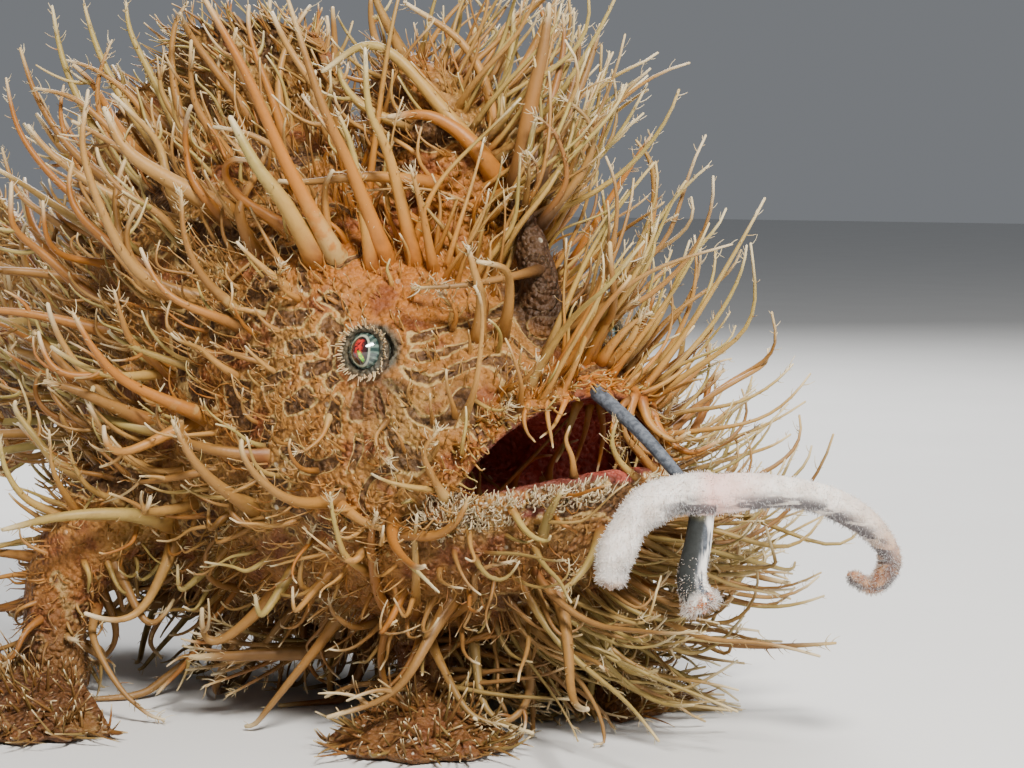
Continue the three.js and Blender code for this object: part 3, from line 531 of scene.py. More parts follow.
def tubes(paths, radii, sides, seed):
    # tapering tubes along paths of shape (how many, rings, 3), closed at the tip only
    paths, radii = np.asarray(paths, float), np.asarray(radii, float)
    many, rings = radii.shape
    tangent = unit(np.gradient(paths, axis=1))
    last = np.random.default_rng(seed).normal(size=(many, 3))
    across = np.empty_like(paths)
    for r in range(rings):
        last = unit(last - (last * tangent[:, r]).sum(1, keepdims=True) * tangent[:, r])
        across[:, r] = last
    second = np.cross(tangent, across)
    a = 2 * math.pi * np.arange(sides) / sides
    spokes = across[:, :, None] * np.cos(a)[:, None] + second[:, :, None] * np.sin(a)[:, None]
    ringPoints = paths[:, :, None] + radii[:, :, None, None] * spokes
    tip = paths[:, -1] + tangent[:, -1] * radii[:, -1:] * 0.8
    points = np.concatenate([ringPoints.reshape(many, -1, 3), tip[:, None]], 1)
    each = rings * sides + 1
    k, r = (g.ravel() for g in np.meshgrid(np.arange(sides), np.arange(rings - 1)))
    n = (k + 1) % sides
    quad = np.stack([r * sides + k, r * sides + n, (r + 1) * sides + n, (r + 1) * sides + k], 1)
    corners = ((k, r), (k + 1, r), (k + 1, r + 1), (k, r + 1))
    quadUv = np.stack([np.stack(corner, 1) for corner in corners], 1)
    k, r = np.arange(sides), np.full(sides, rings - 1)
    cap = np.stack([r * sides + k, r * sides + (k + 1) % sides, (r + 1) * sides], 1)
    capUv = np.stack([np.stack(corner, 1) for corner in ((k, r), (k + 1, r), (k + 0.5, r + 1))], 1)
    base = each * np.arange(many)
    quads = (quad[None] + base[:, None, None]).reshape(-1, 4)
    caps = (cap[None] + base[:, None, None]).reshape(-1, 3)
    share = np.concatenate([np.repeat(np.linspace(0, 1, rings), sides), [1]])
    return {"points": points.reshape(-1, 3), "faces": [quads, caps], "each": each, "many": many,
            "uv": [quadUv / (sides, rings), capUv / (sides, rings)], "share": np.tile(share, many)}


def tuftUv(made, places):
    # each tuft's own small patch of the map, at its root's place
    return [(places[:, None, None] + tuftPatch * (local[None] - 0.5)).reshape(-1, 2) for local in made["uv"]]


def coatPiece(name, paths, radii, sides, roots, material, seed, pale=0.0, start=None, tones=(0, 1)):
    # one piece of the coat; start is where along its parent each twig begins
    made = tubes(paths, radii, sides, seed)
    rows = {key: np.repeat(value, made["each"], 0) for key, value in markColours(roots).items()}
    random = np.random.default_rng(seed + 5).random((made["many"], 2))
    random[:, 1] = mix(*tones, random[:, 1])
    tone = np.repeat(random, made["each"], 0)
    share = made["share"]
    if start is not None:
        share = mix(np.repeat(start, made["each"]), 1, share)
    rows["hair"] = np.stack([share, tone[:, 0], tone[:, 1], np.full(len(tone), pale)], 1)
    made["points"][:, 2] = np.maximum(made["points"][:, 2], 0.2)
    piece = makePiece(name, made["points"], made["faces"], rows, tuftUv(made, unwrap(roots)))
    print(name, made["many"], "tufts,", 2 * len(made["faces"][0]) + len(made["faces"][1]), "triangles")
    return finishPiece(piece, material, "skin")


# Paint

class Paint:
    # a material and short ways to add nodes to it; sizes in millimetres of the object itself

    def __init__(self, name):
        self.material = bpy.data.materials.new(name)
        self.material.use_nodes = True
        self.tree = self.material.node_tree
        self.shader = self.tree.nodes["Principled BSDF"]
        self.place = self.add("ShaderNodeTexCoord").outputs["Object"]

    def add(self, kind, **settings):
        made = self.tree.nodes.new(kind)
        for key, value in settings.items():
            setattr(made, key, value)
        return made

    def into(self, socket, value):
        if isinstance(value, bpy.types.NodeSocket):
            self.tree.links.new(value, socket)
        elif isinstance(value, (tuple, list)) and len(value) == 3 and socket.type == "RGBA":
            socket.default_value = (*value, 1)
        else:
            socket.default_value = value

    def texture(self, kind, size, stretch=(1, 1, 1)):
        scaled = self.add("ShaderNodeMapping")
        scaled.inputs["Scale"].default_value = tuple(1000 / size / s for s in stretch)
        self.into(scaled.inputs["Vector"], self.place)
        made = self.add(kind)
        made.inputs["Scale"].default_value = 1
        self.into(made.inputs["Vector"], scaled.outputs[0])
        return made

    def noise(self, size, detail, stretch=(1, 1, 1)):
        made = self.texture("ShaderNodeTexNoise", size, stretch)
        made.inputs["Detail"].default_value = detail
        return made.outputs["Fac"]

    def cells(self, size):
        return self.texture("ShaderNodeTexVoronoi", size).outputs["Distance"]

    def attribute(self, name):
        made = self.add("ShaderNodeAttribute", attribute_name=name)
        parts = self.add("ShaderNodeSeparateColor")
        self.into(parts.inputs[0], made.outputs["Color"])
        return parts.outputs[0], parts.outputs[1], parts.outputs[2], made.outputs["Alpha"]

    def sum(self, operation, a, b=0.0):
        made = self.add("ShaderNodeMath", operation=operation)
        self.into(made.inputs[0], a)
        self.into(made.inputs[1], b)
        return made.outputs[0]

    def span(self, value, low, high, first=0.0, last=1.0):
        # value carried from low..high to first..last, softly
        made = self.add("ShaderNodeMapRange", interpolation_type="SMOOTHSTEP")
        keys = ("Value", "From Min", "From Max", "To Min", "To Max")
        for key, v in zip(keys, (value, low, high, first, last)):
            self.into(made.inputs[key], v)
        return made.outputs[0]

    def mix(self, share, a, b):
        made = self.add("ShaderNodeMix", data_type="RGBA")
        self.into(made.inputs["Factor"], share)
        self.into(made.inputs["A"], a)
        self.into(made.inputs["B"], b)
        return made.outputs["Result"]

    def times(self, a, b):
        return self.sum("MULTIPLY", a, b)

    def over(self, colour, share, most, top):
        # top laid over colour where share is, most times as strong
        return self.mix(self.times(share, most), colour, top)

    def bump(self, height, strength, depth):
        made = self.add("ShaderNodeBump")
        made.inputs["Strength"].default_value = strength
        made.inputs["Distance"].default_value = depth / 1000
        self.into(made.inputs["Height"], height)
        self.into(self.shader.inputs["Normal"], made.outputs[0])

    def finish(self, colour, **sockets):
        self.into(self.shader.inputs["Base Color"], colour)
        for key, value in sockets.items():
            self.into(self.shader.inputs[key.replace("_", " ")], value)
        return self.material


skinTone = {
    "tan": (0.25, 0.108, 0.020), "pale": (0.30, 0.158, 0.038), "orange": (0.44, 0.125, 0.010),
    "brown": (0.042, 0.019, 0.007), "umber": (0.10, 0.036, 0.010), "red": (0.22, 0.038, 0.024),
    "rim": (0.12, 0.026, 0.014), "throat": (0.36, 0.075, 0.050), "ring": (0.040, 0.056, 0.042),
    "white": (0.62, 0.54, 0.40), "outline": (0.46, 0.31, 0.11), "rust": (0.15, 0.034, 0.010),
}


def markedColour(paint, inside, glow, ring, column, shadeAndPatch):
    # the fish's pattern and painted shade, from the fields that markings gives
    c = skinTone
    wide = paint.noise(9, 3)
    fine = paint.noise(1.3, 4)
    ground = paint.mix(paint.span(wide, 0.38, 0.62), c["tan"], c["pale"])
    ground = paint.over(ground, glow, 0.85, c["orange"])
    ground = paint.mix(paint.span(fine, 0.35, 0.75, 0.0, 0.45), ground, c["umber"])
    ground = paint.mix(paint.span(paint.noise(5.5, 3), 0.52, 0.66, 0.0, 0.75), ground, c["rust"])
    edge = paint.sum("ADD", inside, paint.span(fine, 0.3, 0.7, -0.02, 0.02))
    rim = paint.times(paint.span(edge, 0.445, 0.475), paint.span(edge, 0.52, 0.495))
    colour = paint.over(ground, rim, 0.8, c["outline"])
    dark = paint.mix(paint.span(paint.noise(0.7, 4), 0.4, 0.7), c["brown"], (0.15, 0.070, 0.020))
    colour = paint.mix(paint.times(paint.span(edge, 0.49, 0.525), 0.85), colour, dark)
    colour = paint.over(colour, column, 0.93, c["brown"])
    # painted shade in umber towards the belly and on the chin, and the dark patch below each eye
    colour = paint.over(colour, shadeAndPatch, 0.7, c["umber"])
    colour = paint.over(colour, ring, 0.85, c["ring"])
    return colour


def skinMaterial():
    paint = Paint("moistSkin")
    inside, glow, red, ring = paint.attribute("marks")
    lip, column, shadeAndPatch, deep = paint.attribute("marksToo")
    c = skinTone
    colour = markedColour(paint, inside, glow, ring, column, shadeAndPatch)
    grains = paint.span(paint.cells(0.55), 0.2, 0.5, 1.0, 0.0)
    colour = paint.mix(paint.times(lip, paint.times(grains, 0.8)), colour, c["white"])
    where = paint.span(paint.noise(6, 2), 0.5, 0.62)
    flecks = paint.times(paint.span(paint.cells(2.6), 0.16, 0.1), where)
    colour = paint.over(colour, flecks, 0.8, c["white"])
    wet = paint.mix(paint.span(deep, 0.35, 0.75), c["rim"], c["red"])
    wet = paint.mix(paint.span(paint.sum("ADD", deep, paint.noise(2.5, 2)), 1.15, 1.6), wet, c["throat"])
    colour = paint.mix(red, colour, wet)
    warts = paint.span(paint.cells(0.8), 0.0, 0.75, 1.0, 0.0)
    height = paint.sum("ADD", warts, paint.times(paint.noise(0.35, 3), 0.6))
    height = paint.sum("ADD", height, paint.times(paint.noise(2.4, 3), 1.8))
    height = paint.sum("ADD", height, paint.span(inside, 0.46, 0.53, 0.0, -0.7))
    paint.bump(height, 1.0, 0.42)
    return paint.finish(colour, Roughness=0.6, Specular_IOR_Level=0.35, Subsurface_Weight=0.08,
                        Subsurface_Scale=0.0012, Subsurface_Radius=(1.0, 0.35, 0.1))


def coatMaterial():
    # filaments: the root has the skin's colour with its painted shade, then tan with a pale tip
    paint = Paint("skinFilament")
    inside, glow, _, ring = paint.attribute("marks")
    _, column, shadeAndPatch, _ = paint.attribute("marksToo")
    share, tone, toneToo, pale = paint.attribute("hair")
    root = markedColour(paint, inside, glow, ring, column, shadeAndPatch)
    tan = paint.mix(tone, (0.22, 0.100, 0.022), (0.38, 0.208, 0.058))
    tan = paint.mix(paint.span(toneToo, 0.62, 0.9), tan, (0.33, 0.245, 0.070))
    tan = paint.mix(paint.span(toneToo, 0.22, 0.05), tan, (0.31, 0.115, 0.018))
    tan = paint.over(tan, column, 0.7, (0.17, 0.085, 0.030))
    tan = paint.mix(paint.span(paint.noise(1.1, 3), 0.5, 0.8, 0.0, 0.35), tan, (0.15, 0.062, 0.015))
    # the same painted shade, with the dark patch below each eye, darkens the filaments there
    tan = paint.over(tan, shadeAndPatch, 0.6, (0.11, 0.052, 0.018))
    warm = paint.over(tan, glow, 0.7, (0.48, 0.175, 0.020))
    colour = paint.mix(paint.span(share, 0.0, 0.28), root, warm)
    colour = paint.mix(paint.span(share, 0.25, 0.75), colour, tan)
    tip = paint.mix(tone, (0.56, 0.40, 0.17), (0.74, 0.64, 0.42))
    colour = paint.mix(paint.span(share, 0.8, 1.0, 0.0, 0.7), colour, tip)
    colour = paint.mix(pale, colour, (0.70, 0.62, 0.42))
    paint.bump(paint.noise(0.5, 1), 0.35, 0.12)
    return paint.finish(colour, Roughness=0.48, Specular_IOR_Level=0.3)


# The skin

def smoothed(points, faces, rounds):
    # points drawn towards their neighbours, to take the steps out
    edges = np.vstack([faces[:, [0, 1]], faces[:, [1, 2]], faces[:, [2, 3]], faces[:, [3, 0]]])
    many = len(points)
    count = np.bincount(edges[:, 0], minlength=many) + np.bincount(edges[:, 1], minlength=many)
    for _ in range(rounds):
        total = np.stack([np.bincount(edges[:, 0], points[edges[:, 1], k], many) +
                          np.bincount(edges[:, 1], points[edges[:, 0], k], many) for k in range(3)], 1)
        points = mix(points, total / count[:, None], 0.5)
    return points


def pointNormals(points, faces):
    a, b, c, d = (points[faces[:, k]] for k in range(4))
    face = np.cross(c - a, d - b)
    total = [np.bincount(faces.ravel(), np.repeat(face[:, k], 4), len(points)) for k in range(3)]
    return unit(np.stack(total, 1))


def makeSkin(material):
    points, faces = bodyField().surface()
    points = smoothed(points, faces, 2)
    normals = pointNormals(points, faces)
    marks = markings(points)
    calm = (1 - marks[:, 2]) * (1 - 0.7 * marks[:, 3])
    folds = 0.6 * noise(points, 7, 21) + 0.4 * noise(points, 3.4, 22)
    warts = np.maximum(0, noise(points, 1.7, 23)) + 0.5 * np.maximum(0, noise(points, 1.1, 24))
    raised = body["folds"] * (folds - 0.4) + body["warts"] * (warts - 0.3)
    points = points + normals * (raised * calm * step(0.5, 3, points[:, 2]))[:, None]
    points[:, 2] = np.maximum(points[:, 2], onFloor)
    skin = makePiece("skin", points, [faces], markColours(points))
    print("skin", len(points), "points")
    finishPiece(skin, material, "skin", "head", "lower_jaw", "torso", "tail_stalk", "second_dorsal_spine",
                "third_dorsal_spine", "right_pectoral_arm", "left_pectoral_arm")
    return points, faces


# Fins, as thin ridged sheets between rays

fins = {"thin": 0.12, "between": 8, "rows": 28, "wrinkle": 0.12}


def ray(root, tip, bend):
    t = np.linspace(0, 1, 5)[:, None]
    root, tip, bend = (np.array(v, float) for v in (root, tip, bend))
    return mix(root, tip, t) + bend * np.sin(math.pi * t)


def finPiece(name, rays, rootThick, edgeThick, ridge, dip, material, *nodes):
    columns, where = [], []
    for i in range(len(rays) - 1):
        last = i == len(rays) - 2
        for k in range(fins["between"] + last):
            f = k / fins["between"]
            columns.append(curve(mix(rays[i], rays[i + 1], f), 80))
            where.append(f)
    columns, f = np.array(columns), np.array(where)
    beside = 1 - np.abs(2 * f - 1)
    v = np.linspace(0, 1, fins["rows"])
    reach = 1 - 0.25 * (1 - dip) * beside ** 0.8
    at = np.clip(v[None, :] * reach[:, None] * 79, 0, 79 - 1e-6)
    low = at.astype(int)
    i = np.arange(len(columns))[:, None]
    sheet = mix(columns[i, low], columns[i, low + 1], (at - low)[..., None])
    normal = unit(np.cross(np.gradient(sheet, axis=0), np.gradient(sheet, axis=1)))
    half = mix(rootThick, edgeThick, v)[None, :] / 2 - fins["thin"] + ridge * (1 - beside)[:, None] ** 2
    half = half + fins["wrinkle"] * (noise(sheet.reshape(-1, 3), 2.2, 31).reshape(half.shape) - 0.6)
    half = np.maximum(half, 0.12)[..., None]
    points = np.stack([sheet + normal * half, sheet - normal * half]).reshape(-1, 3)
    points[:, 2] = np.maximum(points[:, 2], 0.25)
    wide, long = sheet.shape[:2]
    c, r = (g.ravel() for g in np.meshgrid(np.arange(wide - 1), np.arange(long - 1), indexing="ij"))
    under = wide * long
    front = np.stack([c * long + r, (c + 1) * long + r, (c + 1) * long + r + 1, c * long + r + 1], 1)
    rim = []
    loop = [k * long for k in range(wide)] + [(wide - 1) * long + k for k in range(1, long)]
    loop += [k * long + long - 1 for k in range(wide - 2, -1, -1)] + list(range(long - 2, 0, -1))
    for a, b in zip(loop, loop[1:] + loop[:1]):
        rim.append((b, a, a + under, b + under))
    faces = np.vstack([front, front[:, ::-1] + under, np.array(rim)])
    piece = makePiece(name, points, [faces], markColours(points))
    finishPiece(piece, material, "fin_skin", *nodes)
    return sheet, normal


def pawRays(side, count, place, turns, high, out, length, bulge, lift):
    # rays that spread over the floor like fingers
    rays = []
    for i in range(count):
        t = i / (count - 1)
        turned = mix(*turns, t)
        way = np.array([side * math.cos(turned), math.sin(turned), 0])
        root = np.array([side * place[0], place[1], 0]) + way * out
        tip = root + way * (length + bulge * math.sin(math.pi * t))
        root[2], tip[2] = high, 0.35
        rays.append(ray(root, tip, (0, 0, lift)))
    return rays


def finRays():
    # the same rays as the solids have, from root to tip
    groups = {"dorsal_fin": [], "anal_fin": [], "tail_fin": []}
    for i in range(12):
        t = i / 11
        y = mix(-9, 43, t)
        root = np.array([0, y, measure(y)[1][0] - 2])
        height = 20 * (0.62 + 0.38 * math.sin(math.pi * (0.12 + 0.76 * t)))
        lean, sway = mix(0.35, 1.15, t), 2.2 * math.sin(1.3 * i)
        tip = root + (sway, height * math.sin(lean), height * math.cos(lean))
        groups["dorsal_fin"].append(ray(root, tip, (sway * 0.3, -1.2, 0.6)))
    for i in range(7):
        t = i / 6
        y = mix(23, 45, t)
        root = np.array([0, y, measure(y)[2][0] + 2])
        height = 15.5 * (0.75 + 0.25 * math.sin(math.pi * (0.1 + 0.8 * t)))
        lean = mix(0.55, 1.15, t)
        tip = root + (1.1 * math.sin(2 * i), height * math.sin(lean), -height * math.cos(lean))
        groups["anal_fin"].append(ray(root, tip, (0, -0.8, -0.8)))
    for i in range(9):
        t = i / 4 - 1
        spread, length, sway = 0.62 * t, 31 - 3.5 * t * t, 1.6 * math.sin(1.9 * i)
        root = (0, 57, 43 + 6.6 * t)
        tip = (sway + 3, 57 + length * math.cos(spread), 43 + 6.6 * t + length * math.sin(spread))
        groups["tail_fin"].append(ray(root, tip, (0.8, 0, 0.6 * t)))
    for name, side in (("right", -1), ("left", 1)):
        groups[name + "_pectoral_fin"] = pawRays(side, 10, (36, 7), (-1.35, 1.2), 4.6, 1.5, 17, 3, 1.1)
        groups[name + "_pelvic_fin"] = pawRays(side, 5, (12, -38), (-1.75, 0.35), 4, 1.2, 12, 1.5, 0.7)
    return groups


def makeFins(material):
    # thickness at root and edge, height of the rays, and how far the edge dips between them
    thick = {"dorsal_fin": (3, 1, 0.35, 0.9), "anal_fin": (2.6, 1, 0.35, 0.9), "tail_fin": (3, 1, 0.45, 0.9),
             "pectoral_fin": (3.4, 1.1, 0.5, 0.75), "pelvic_fin": (3.6, 1.1, 0.5, 0.75)}
    sheets = {}
    for name, rays in finRays().items():
        kind = name.replace("right_", "").replace("left_", "")
        sheets[name] = finPiece("skin_" + name, rays, *thick[kind], material, name)
    print("fins", len(sheets))
    return sheets


# Eyes

eyeLook = {"pupil": (1.15, 1.65), "papillae": 74, "papillaLong": (0.25, 1.25)}


def eyeMaterial():
    paint = Paint("frogfishEye")
    u, v, front, _ = paint.attribute("gaze")
    u = paint.times(paint.sum("SUBTRACT", u, 0.5), 10.0)
    v = paint.times(paint.sum("SUBTRACT", v, 0.5), 10.0)
    ratios = zip((u, v), eyeLook["pupil"])
    wide, tall = (paint.sum("POWER", paint.sum("DIVIDE", *pair), 2.0) for pair in ratios)
    e = paint.sum("SQRT", paint.sum("ADD", wide, tall))        # 1 at the pupil's edge
    spin = paint.times(paint.sum("ARCTAN2", v, u), 17.0)
    rays = paint.sum("SINE", paint.sum("ADD", spin, paint.times(paint.noise(0.9, 2), 5.0)))
    iris = paint.mix(paint.span(rays, -0.3, 0.9), (0.020, 0.042, 0.038), (0.12, 0.175, 0.145))
    iris = paint.mix(paint.span(paint.noise(0.7, 3), 0.45, 0.7, 0.0, 0.7), iris, (0.045, 0.055, 0.04))
    rim = paint.times(paint.span(e, 1.0, 1.06), paint.span(e, 1.22, 1.12))
    colour = paint.mix(rim, iris, (0.34, 0.36, 0.26))
    # painted reflections in the pupil: a red glint in its middle and upper part, a green glint in a slanting
    # band lower down, and yellow sparks within the green
    red = paint.times(paint.span(paint.sum("ABSOLUTE", u), 0.75, 0.2), paint.span(v, -1.2, 0.2))
    red = paint.times(red, paint.span(paint.noise(0.35, 3), 0.42, 0.56))
    inner = paint.mix(red, (0.030, 0.008, 0.008), (0.55, 0.02, 0.012))
    slant = paint.sum("ADD", u, paint.times(v, 0.35))
    slant = paint.sum("ABSOLUTE", paint.sum("SUBTRACT", slant, 0.12))
    greenGlint = paint.times(paint.span(slant, 0.34, 0.12), paint.span(v, 0.1, -0.5))
    inner = paint.mix(greenGlint, inner, (0.16, 0.60, 0.03))
    yellowGlint = paint.times(greenGlint, paint.span(paint.noise(0.3, 2), 0.5, 0.6))
    inner = paint.mix(yellowGlint, inner, (0.90, 0.80, 0.05))
    inner = paint.mix(paint.span(e, 0.72, 0.98), inner, (0.008, 0.004, 0.004))
    colour = paint.mix(paint.span(e, 1.04, 0.98), colour, inner)
    colour = paint.mix(front, (0.05, 0.055, 0.045), colour)
    return paint.finish(colour, Roughness=0.12, Coat_Weight=1.0, Coat_Roughness=0.03)


def makeEye(side, material, papillaeMaterial):
    centre, axis = eyeCentre(side), eyeAxis(side)
    up = unit(np.array([0, 0, 1.0]) - axis[2] * axis)
    aside = np.cross(up, axis)
    if (aside @ imageRight) < 0:
        aside = -aside
    rings, spokes = 44, 64
    polar = np.linspace(0, math.pi, rings + 1)[1:-1]
    spin = 2 * math.pi * np.arange(spokes) / spokes
    local = np.stack([np.outer(np.sin(polar), np.cos(spin)), np.outer(np.sin(polar), np.sin(spin)),
                      np.repeat(np.cos(polar)[:, None], spokes, 1)], -1).reshape(-1, 3)
    local = np.vstack([local, [(0, 0, 1), (0, 0, -1)]])
    bulge = 1 + 0.10 * step(0.80, 1.0, local[:, 2])
    radius = eye["radius"] - 0.06
    ahead = (local[:, 2] * bulge)[:, None] * axis
    points = centre + radius * (local[:, 0:1] * aside + local[:, 1:2] * up + ahead)
    k, r = (g.ravel() for g in np.meshgrid(np.arange(spokes), np.arange(rings - 2)))
    n = (k + 1) % spokes
    quads = np.stack([r * spokes + k, (r + 1) * spokes + k, (r + 1) * spokes + n, r * spokes + n], 1)
    many, k = len(points), np.arange(spokes)
    n = (k + 1) % spokes
    last = (rings - 2) * spokes
    ends = np.vstack([np.stack([np.full(spokes, many - 2), k, n], 1),
                      np.stack([last + n, last + k, np.full(spokes, many - 1)], 1)])
    if np.linalg.det(np.stack([aside, up, axis])) < 0:
        quads, ends = quads[:, ::-1], ends[:, ::-1]
    gaze = np.stack([0.5 + radius * local[:, 0] / 10, 0.5 + radius * local[:, 1] / 10,
                     step(-0.1, 0.1, local[:, 2]), np.ones(many)], 1)
    name = "right_eye" if side < 0 else "left_eye"
    ball = makePiece("eyeball_" + name[:-4], points, [quads, ends], {"gaze": gaze})
    finishPiece(ball, material, "eye", name)

    # pale papillae stand round the lid
    random = np.random.default_rng(71)
    count = eyeLook["papillae"]
    spin = 2 * math.pi * (np.arange(count) + 0.6 * random.random(count)) / count
    out = np.cos(spin)[:, None] * aside + np.sin(spin)[:, None] * up
    roots = centre + axis * 1.6 + out * (eye["radius"] + 0.1 + 0.5 * random.random((count, 1)))
    long = mix(*eyeLook["papillaLong"], random.random(count) ** 1.4)
    lean = unit(out + axis * (0.2 + 0.7 * random.random((count, 1))))
    turned = 0.6 * np.cross(axis, out) * random.normal(size=(count, 1)) + 0.5 * axis
    t = np.linspace(0, 1, 6)
    paths = roots[:, None] + lean[:, None] * (long[:, None] * t)[..., None]
    paths = paths + turned[:, None] * (long[:, None] * t ** 2)[..., None] * 0.6
    radii = (0.1 + 0.07 * random.random((count, 1))) * (1 - 0.6 * t)[None]
    coatPiece("papillae_" + name[:-4], paths, radii, 5, roots, papillaeMaterial, 72, pale=0.3)
    print("eye", name)


# The lure

def knotOffset(aside, down, ahead=0.0):
    across = np.array([0.76, -0.65, 0])
    return np.array(lure["knot"]) + across * aside + np.array([-0.6 * ahead, -0.8 * ahead, -down])


lureArms = {
    "near": {"path": [(2.0, -0.35), (-2.5, -0.6), (-7, 1.6), (-9.6, 6.2), (-10.2, 10)], "radii": (2.9, 2.3)},
    "far": {"path": [(-1.6, -0.3), (8, -0.9), (15, 0.3), (20.5, 3.6), (23, 7.6, -1), (21.2, 10.6, -1.6),
                     (18.4, 9.4, -2)], "radii": (2.7, 1.25)},
    "hanging": {"path": [(0.6, 0.4), (0, 5), (-0.8, 9.5, 0.4), (0.4, 12.6, 0.9)], "radii": (1.75, 2.25)},
}
fuzz = {"long": 0.56, "thick": 0.05, "near": 3600, "far": 4400, "hanging": 1300}
lureRings = 60


def wormMaterial():
    # white at the knot and the near arm, tan and pink towards the far tip, grey streaks below
    paint = Paint("lureFuzz")
    share, under, far, tip = paint.attribute("worm")
    white = paint.mix(paint.span(paint.noise(1.6, 3), 0.35, 0.7), (0.80, 0.74, 0.68), (0.64, 0.56, 0.49))
    tan = paint.mix(paint.span(paint.noise(1.2, 3), 0.35, 0.65), (0.48, 0.27, 0.14), (0.24, 0.10, 0.05))
    colour = paint.mix(paint.times(far, paint.span(share, 0.3, 0.75)), white, tan)
    pink = paint.times(paint.span(share, 0.2, 0.03), 0.6)
    colour = paint.mix(pink, colour, (0.84, 0.40, 0.33))
    streaks = paint.times(under, paint.span(paint.noise(1.1, 3, (3, 3, 0.8)), 0.40, 0.52))
    colour = paint.over(colour, streaks, 0.92, (0.085, 0.075, 0.085))
    colour = paint.over(colour, tip, 0.5, (0.92, 0.90, 0.87))
    paint.bump(paint.noise(0.35, 3), 0.6, 0.15)
    return paint.finish(colour, Roughness=0.75, Subsurface_Weight=0.3, Subsurface_Scale=0.0012,
                        Subsurface_Radius=(1.0, 0.7, 0.6))


def rodMaterial():
    paint = Paint("lureRod")
    share, under, ring, white = paint.attribute("worm")
    fine = paint.span(paint.noise(0.6, 3), 0.3, 0.7)
    colour = paint.mix(fine, (0.045, 0.052, 0.065), (0.13, 0.145, 0.17))
    colour = paint.mix(paint.span(paint.cells(0.28), 0.2, 0.08, 0.0, 0.3), colour, (0.4, 0.4, 0.4))
    # on the hanging arm this near black is painted shade on the side away from the light
    colour = paint.over(colour, under, 0.92, (0.016, 0.018, 0.015))
    colour = paint.mix(paint.span(share, 0.16, 0.0), colour, (0.40, 0.34, 0.16))
    colour = paint.over(colour, ring, 0.9, (0.72, 0.68, 0.60))
    # on the hanging arm these whitish streaks are painted light on the lit side; its end takes them too
    streak = paint.times(white, paint.span(paint.noise(1.0, 3, (1, 1, 5)), 0.42, 0.52))
    colour = paint.mix(streak, colour, (0.82, 0.78, 0.72))
    tuft = paint.times(white, paint.span(share, 0.8, 0.93))
    tuft = paint.times(tuft, paint.span(paint.noise(0.9, 2), 0.44, 0.52))
    colour = paint.mix(tuft, colour, (0.44, 0.15, 0.045))
    paint.bump(paint.noise(0.3, 3), 0.4, 0.1)
    return paint.finish(colour, Roughness=0.6, Specular_IOR_Level=0.3)


def underShare(name, share):
    # where along an arm its underside has grey streaks
    if name == "far":
        return step(0.03, 0.12, share)
    return np.maximum(step(0.6, 0.2, share), step(0.68, 0.9, share)) * (name == "near")


def bareArm(name):
    # an arm's middle line and its thickness without the fluff
    setting = lureArms[name]
    path = curve([knotOffset(*p) for p in setting["path"]], lureRings)
    t = np.linspace(0, 1, lureRings)
    thick, thin = setting["radii"]
    size = thick + (thin - thick) * t ** (1.5 if name == "near" else 1)
    size = size * (1 + (0.06 if name != "hanging" else 0) * np.sin(19 * t)) - 0.45
    size = np.where(t > 0.95, size * np.sqrt(np.clip(1 - ((t - 0.95) / 0.055) ** 2, 0.05, 1)), size)
    if name == "hanging":
        size = size + 0.1 + 0.15 * step(0.75, 0.95, t)
    else:
        size[:4] *= (0.86, 0.93, 0.97, 1)
    return path, size


def makeArm(name, path, size, material, slotName):
    sides = 28
    made = tubes(path[None], size[None], sides, 82)
    share = made["share"]
    off = (made["points"][:-1] - np.repeat(path, sides, 0)) / np.repeat(size, sides)[:, None]
    under = np.append(step(0.2, -0.45, off[:, 2]), 0) * underShare(name, share)
    rows = np.stack([share, under, np.full(len(share), float(name == "far")), share * 0], 1)
    if name == "hanging":
        # painted light and shade on the hanging arm: near black on the side away from the light, whitish
        # streaks on the side towards it; its end also takes the streaks and the brown tuft
        lit = np.append(off @ imageRight, 0)
        rows[:, 1] = step(0.55, -0.05, lit)
        rows[:, 3] = np.maximum(step(0.1, 0.6, lit), step(0.75, 0.9, share))
    elif name == "near":
        rows[:, 2] = 0.7 * step(0.9, 1, share)
    core = makePiece("lure_core_" + name, made["points"], made["faces"], {"worm": rows})
    finishPiece(core, material, slotName, "lure_" + name + "_arm")


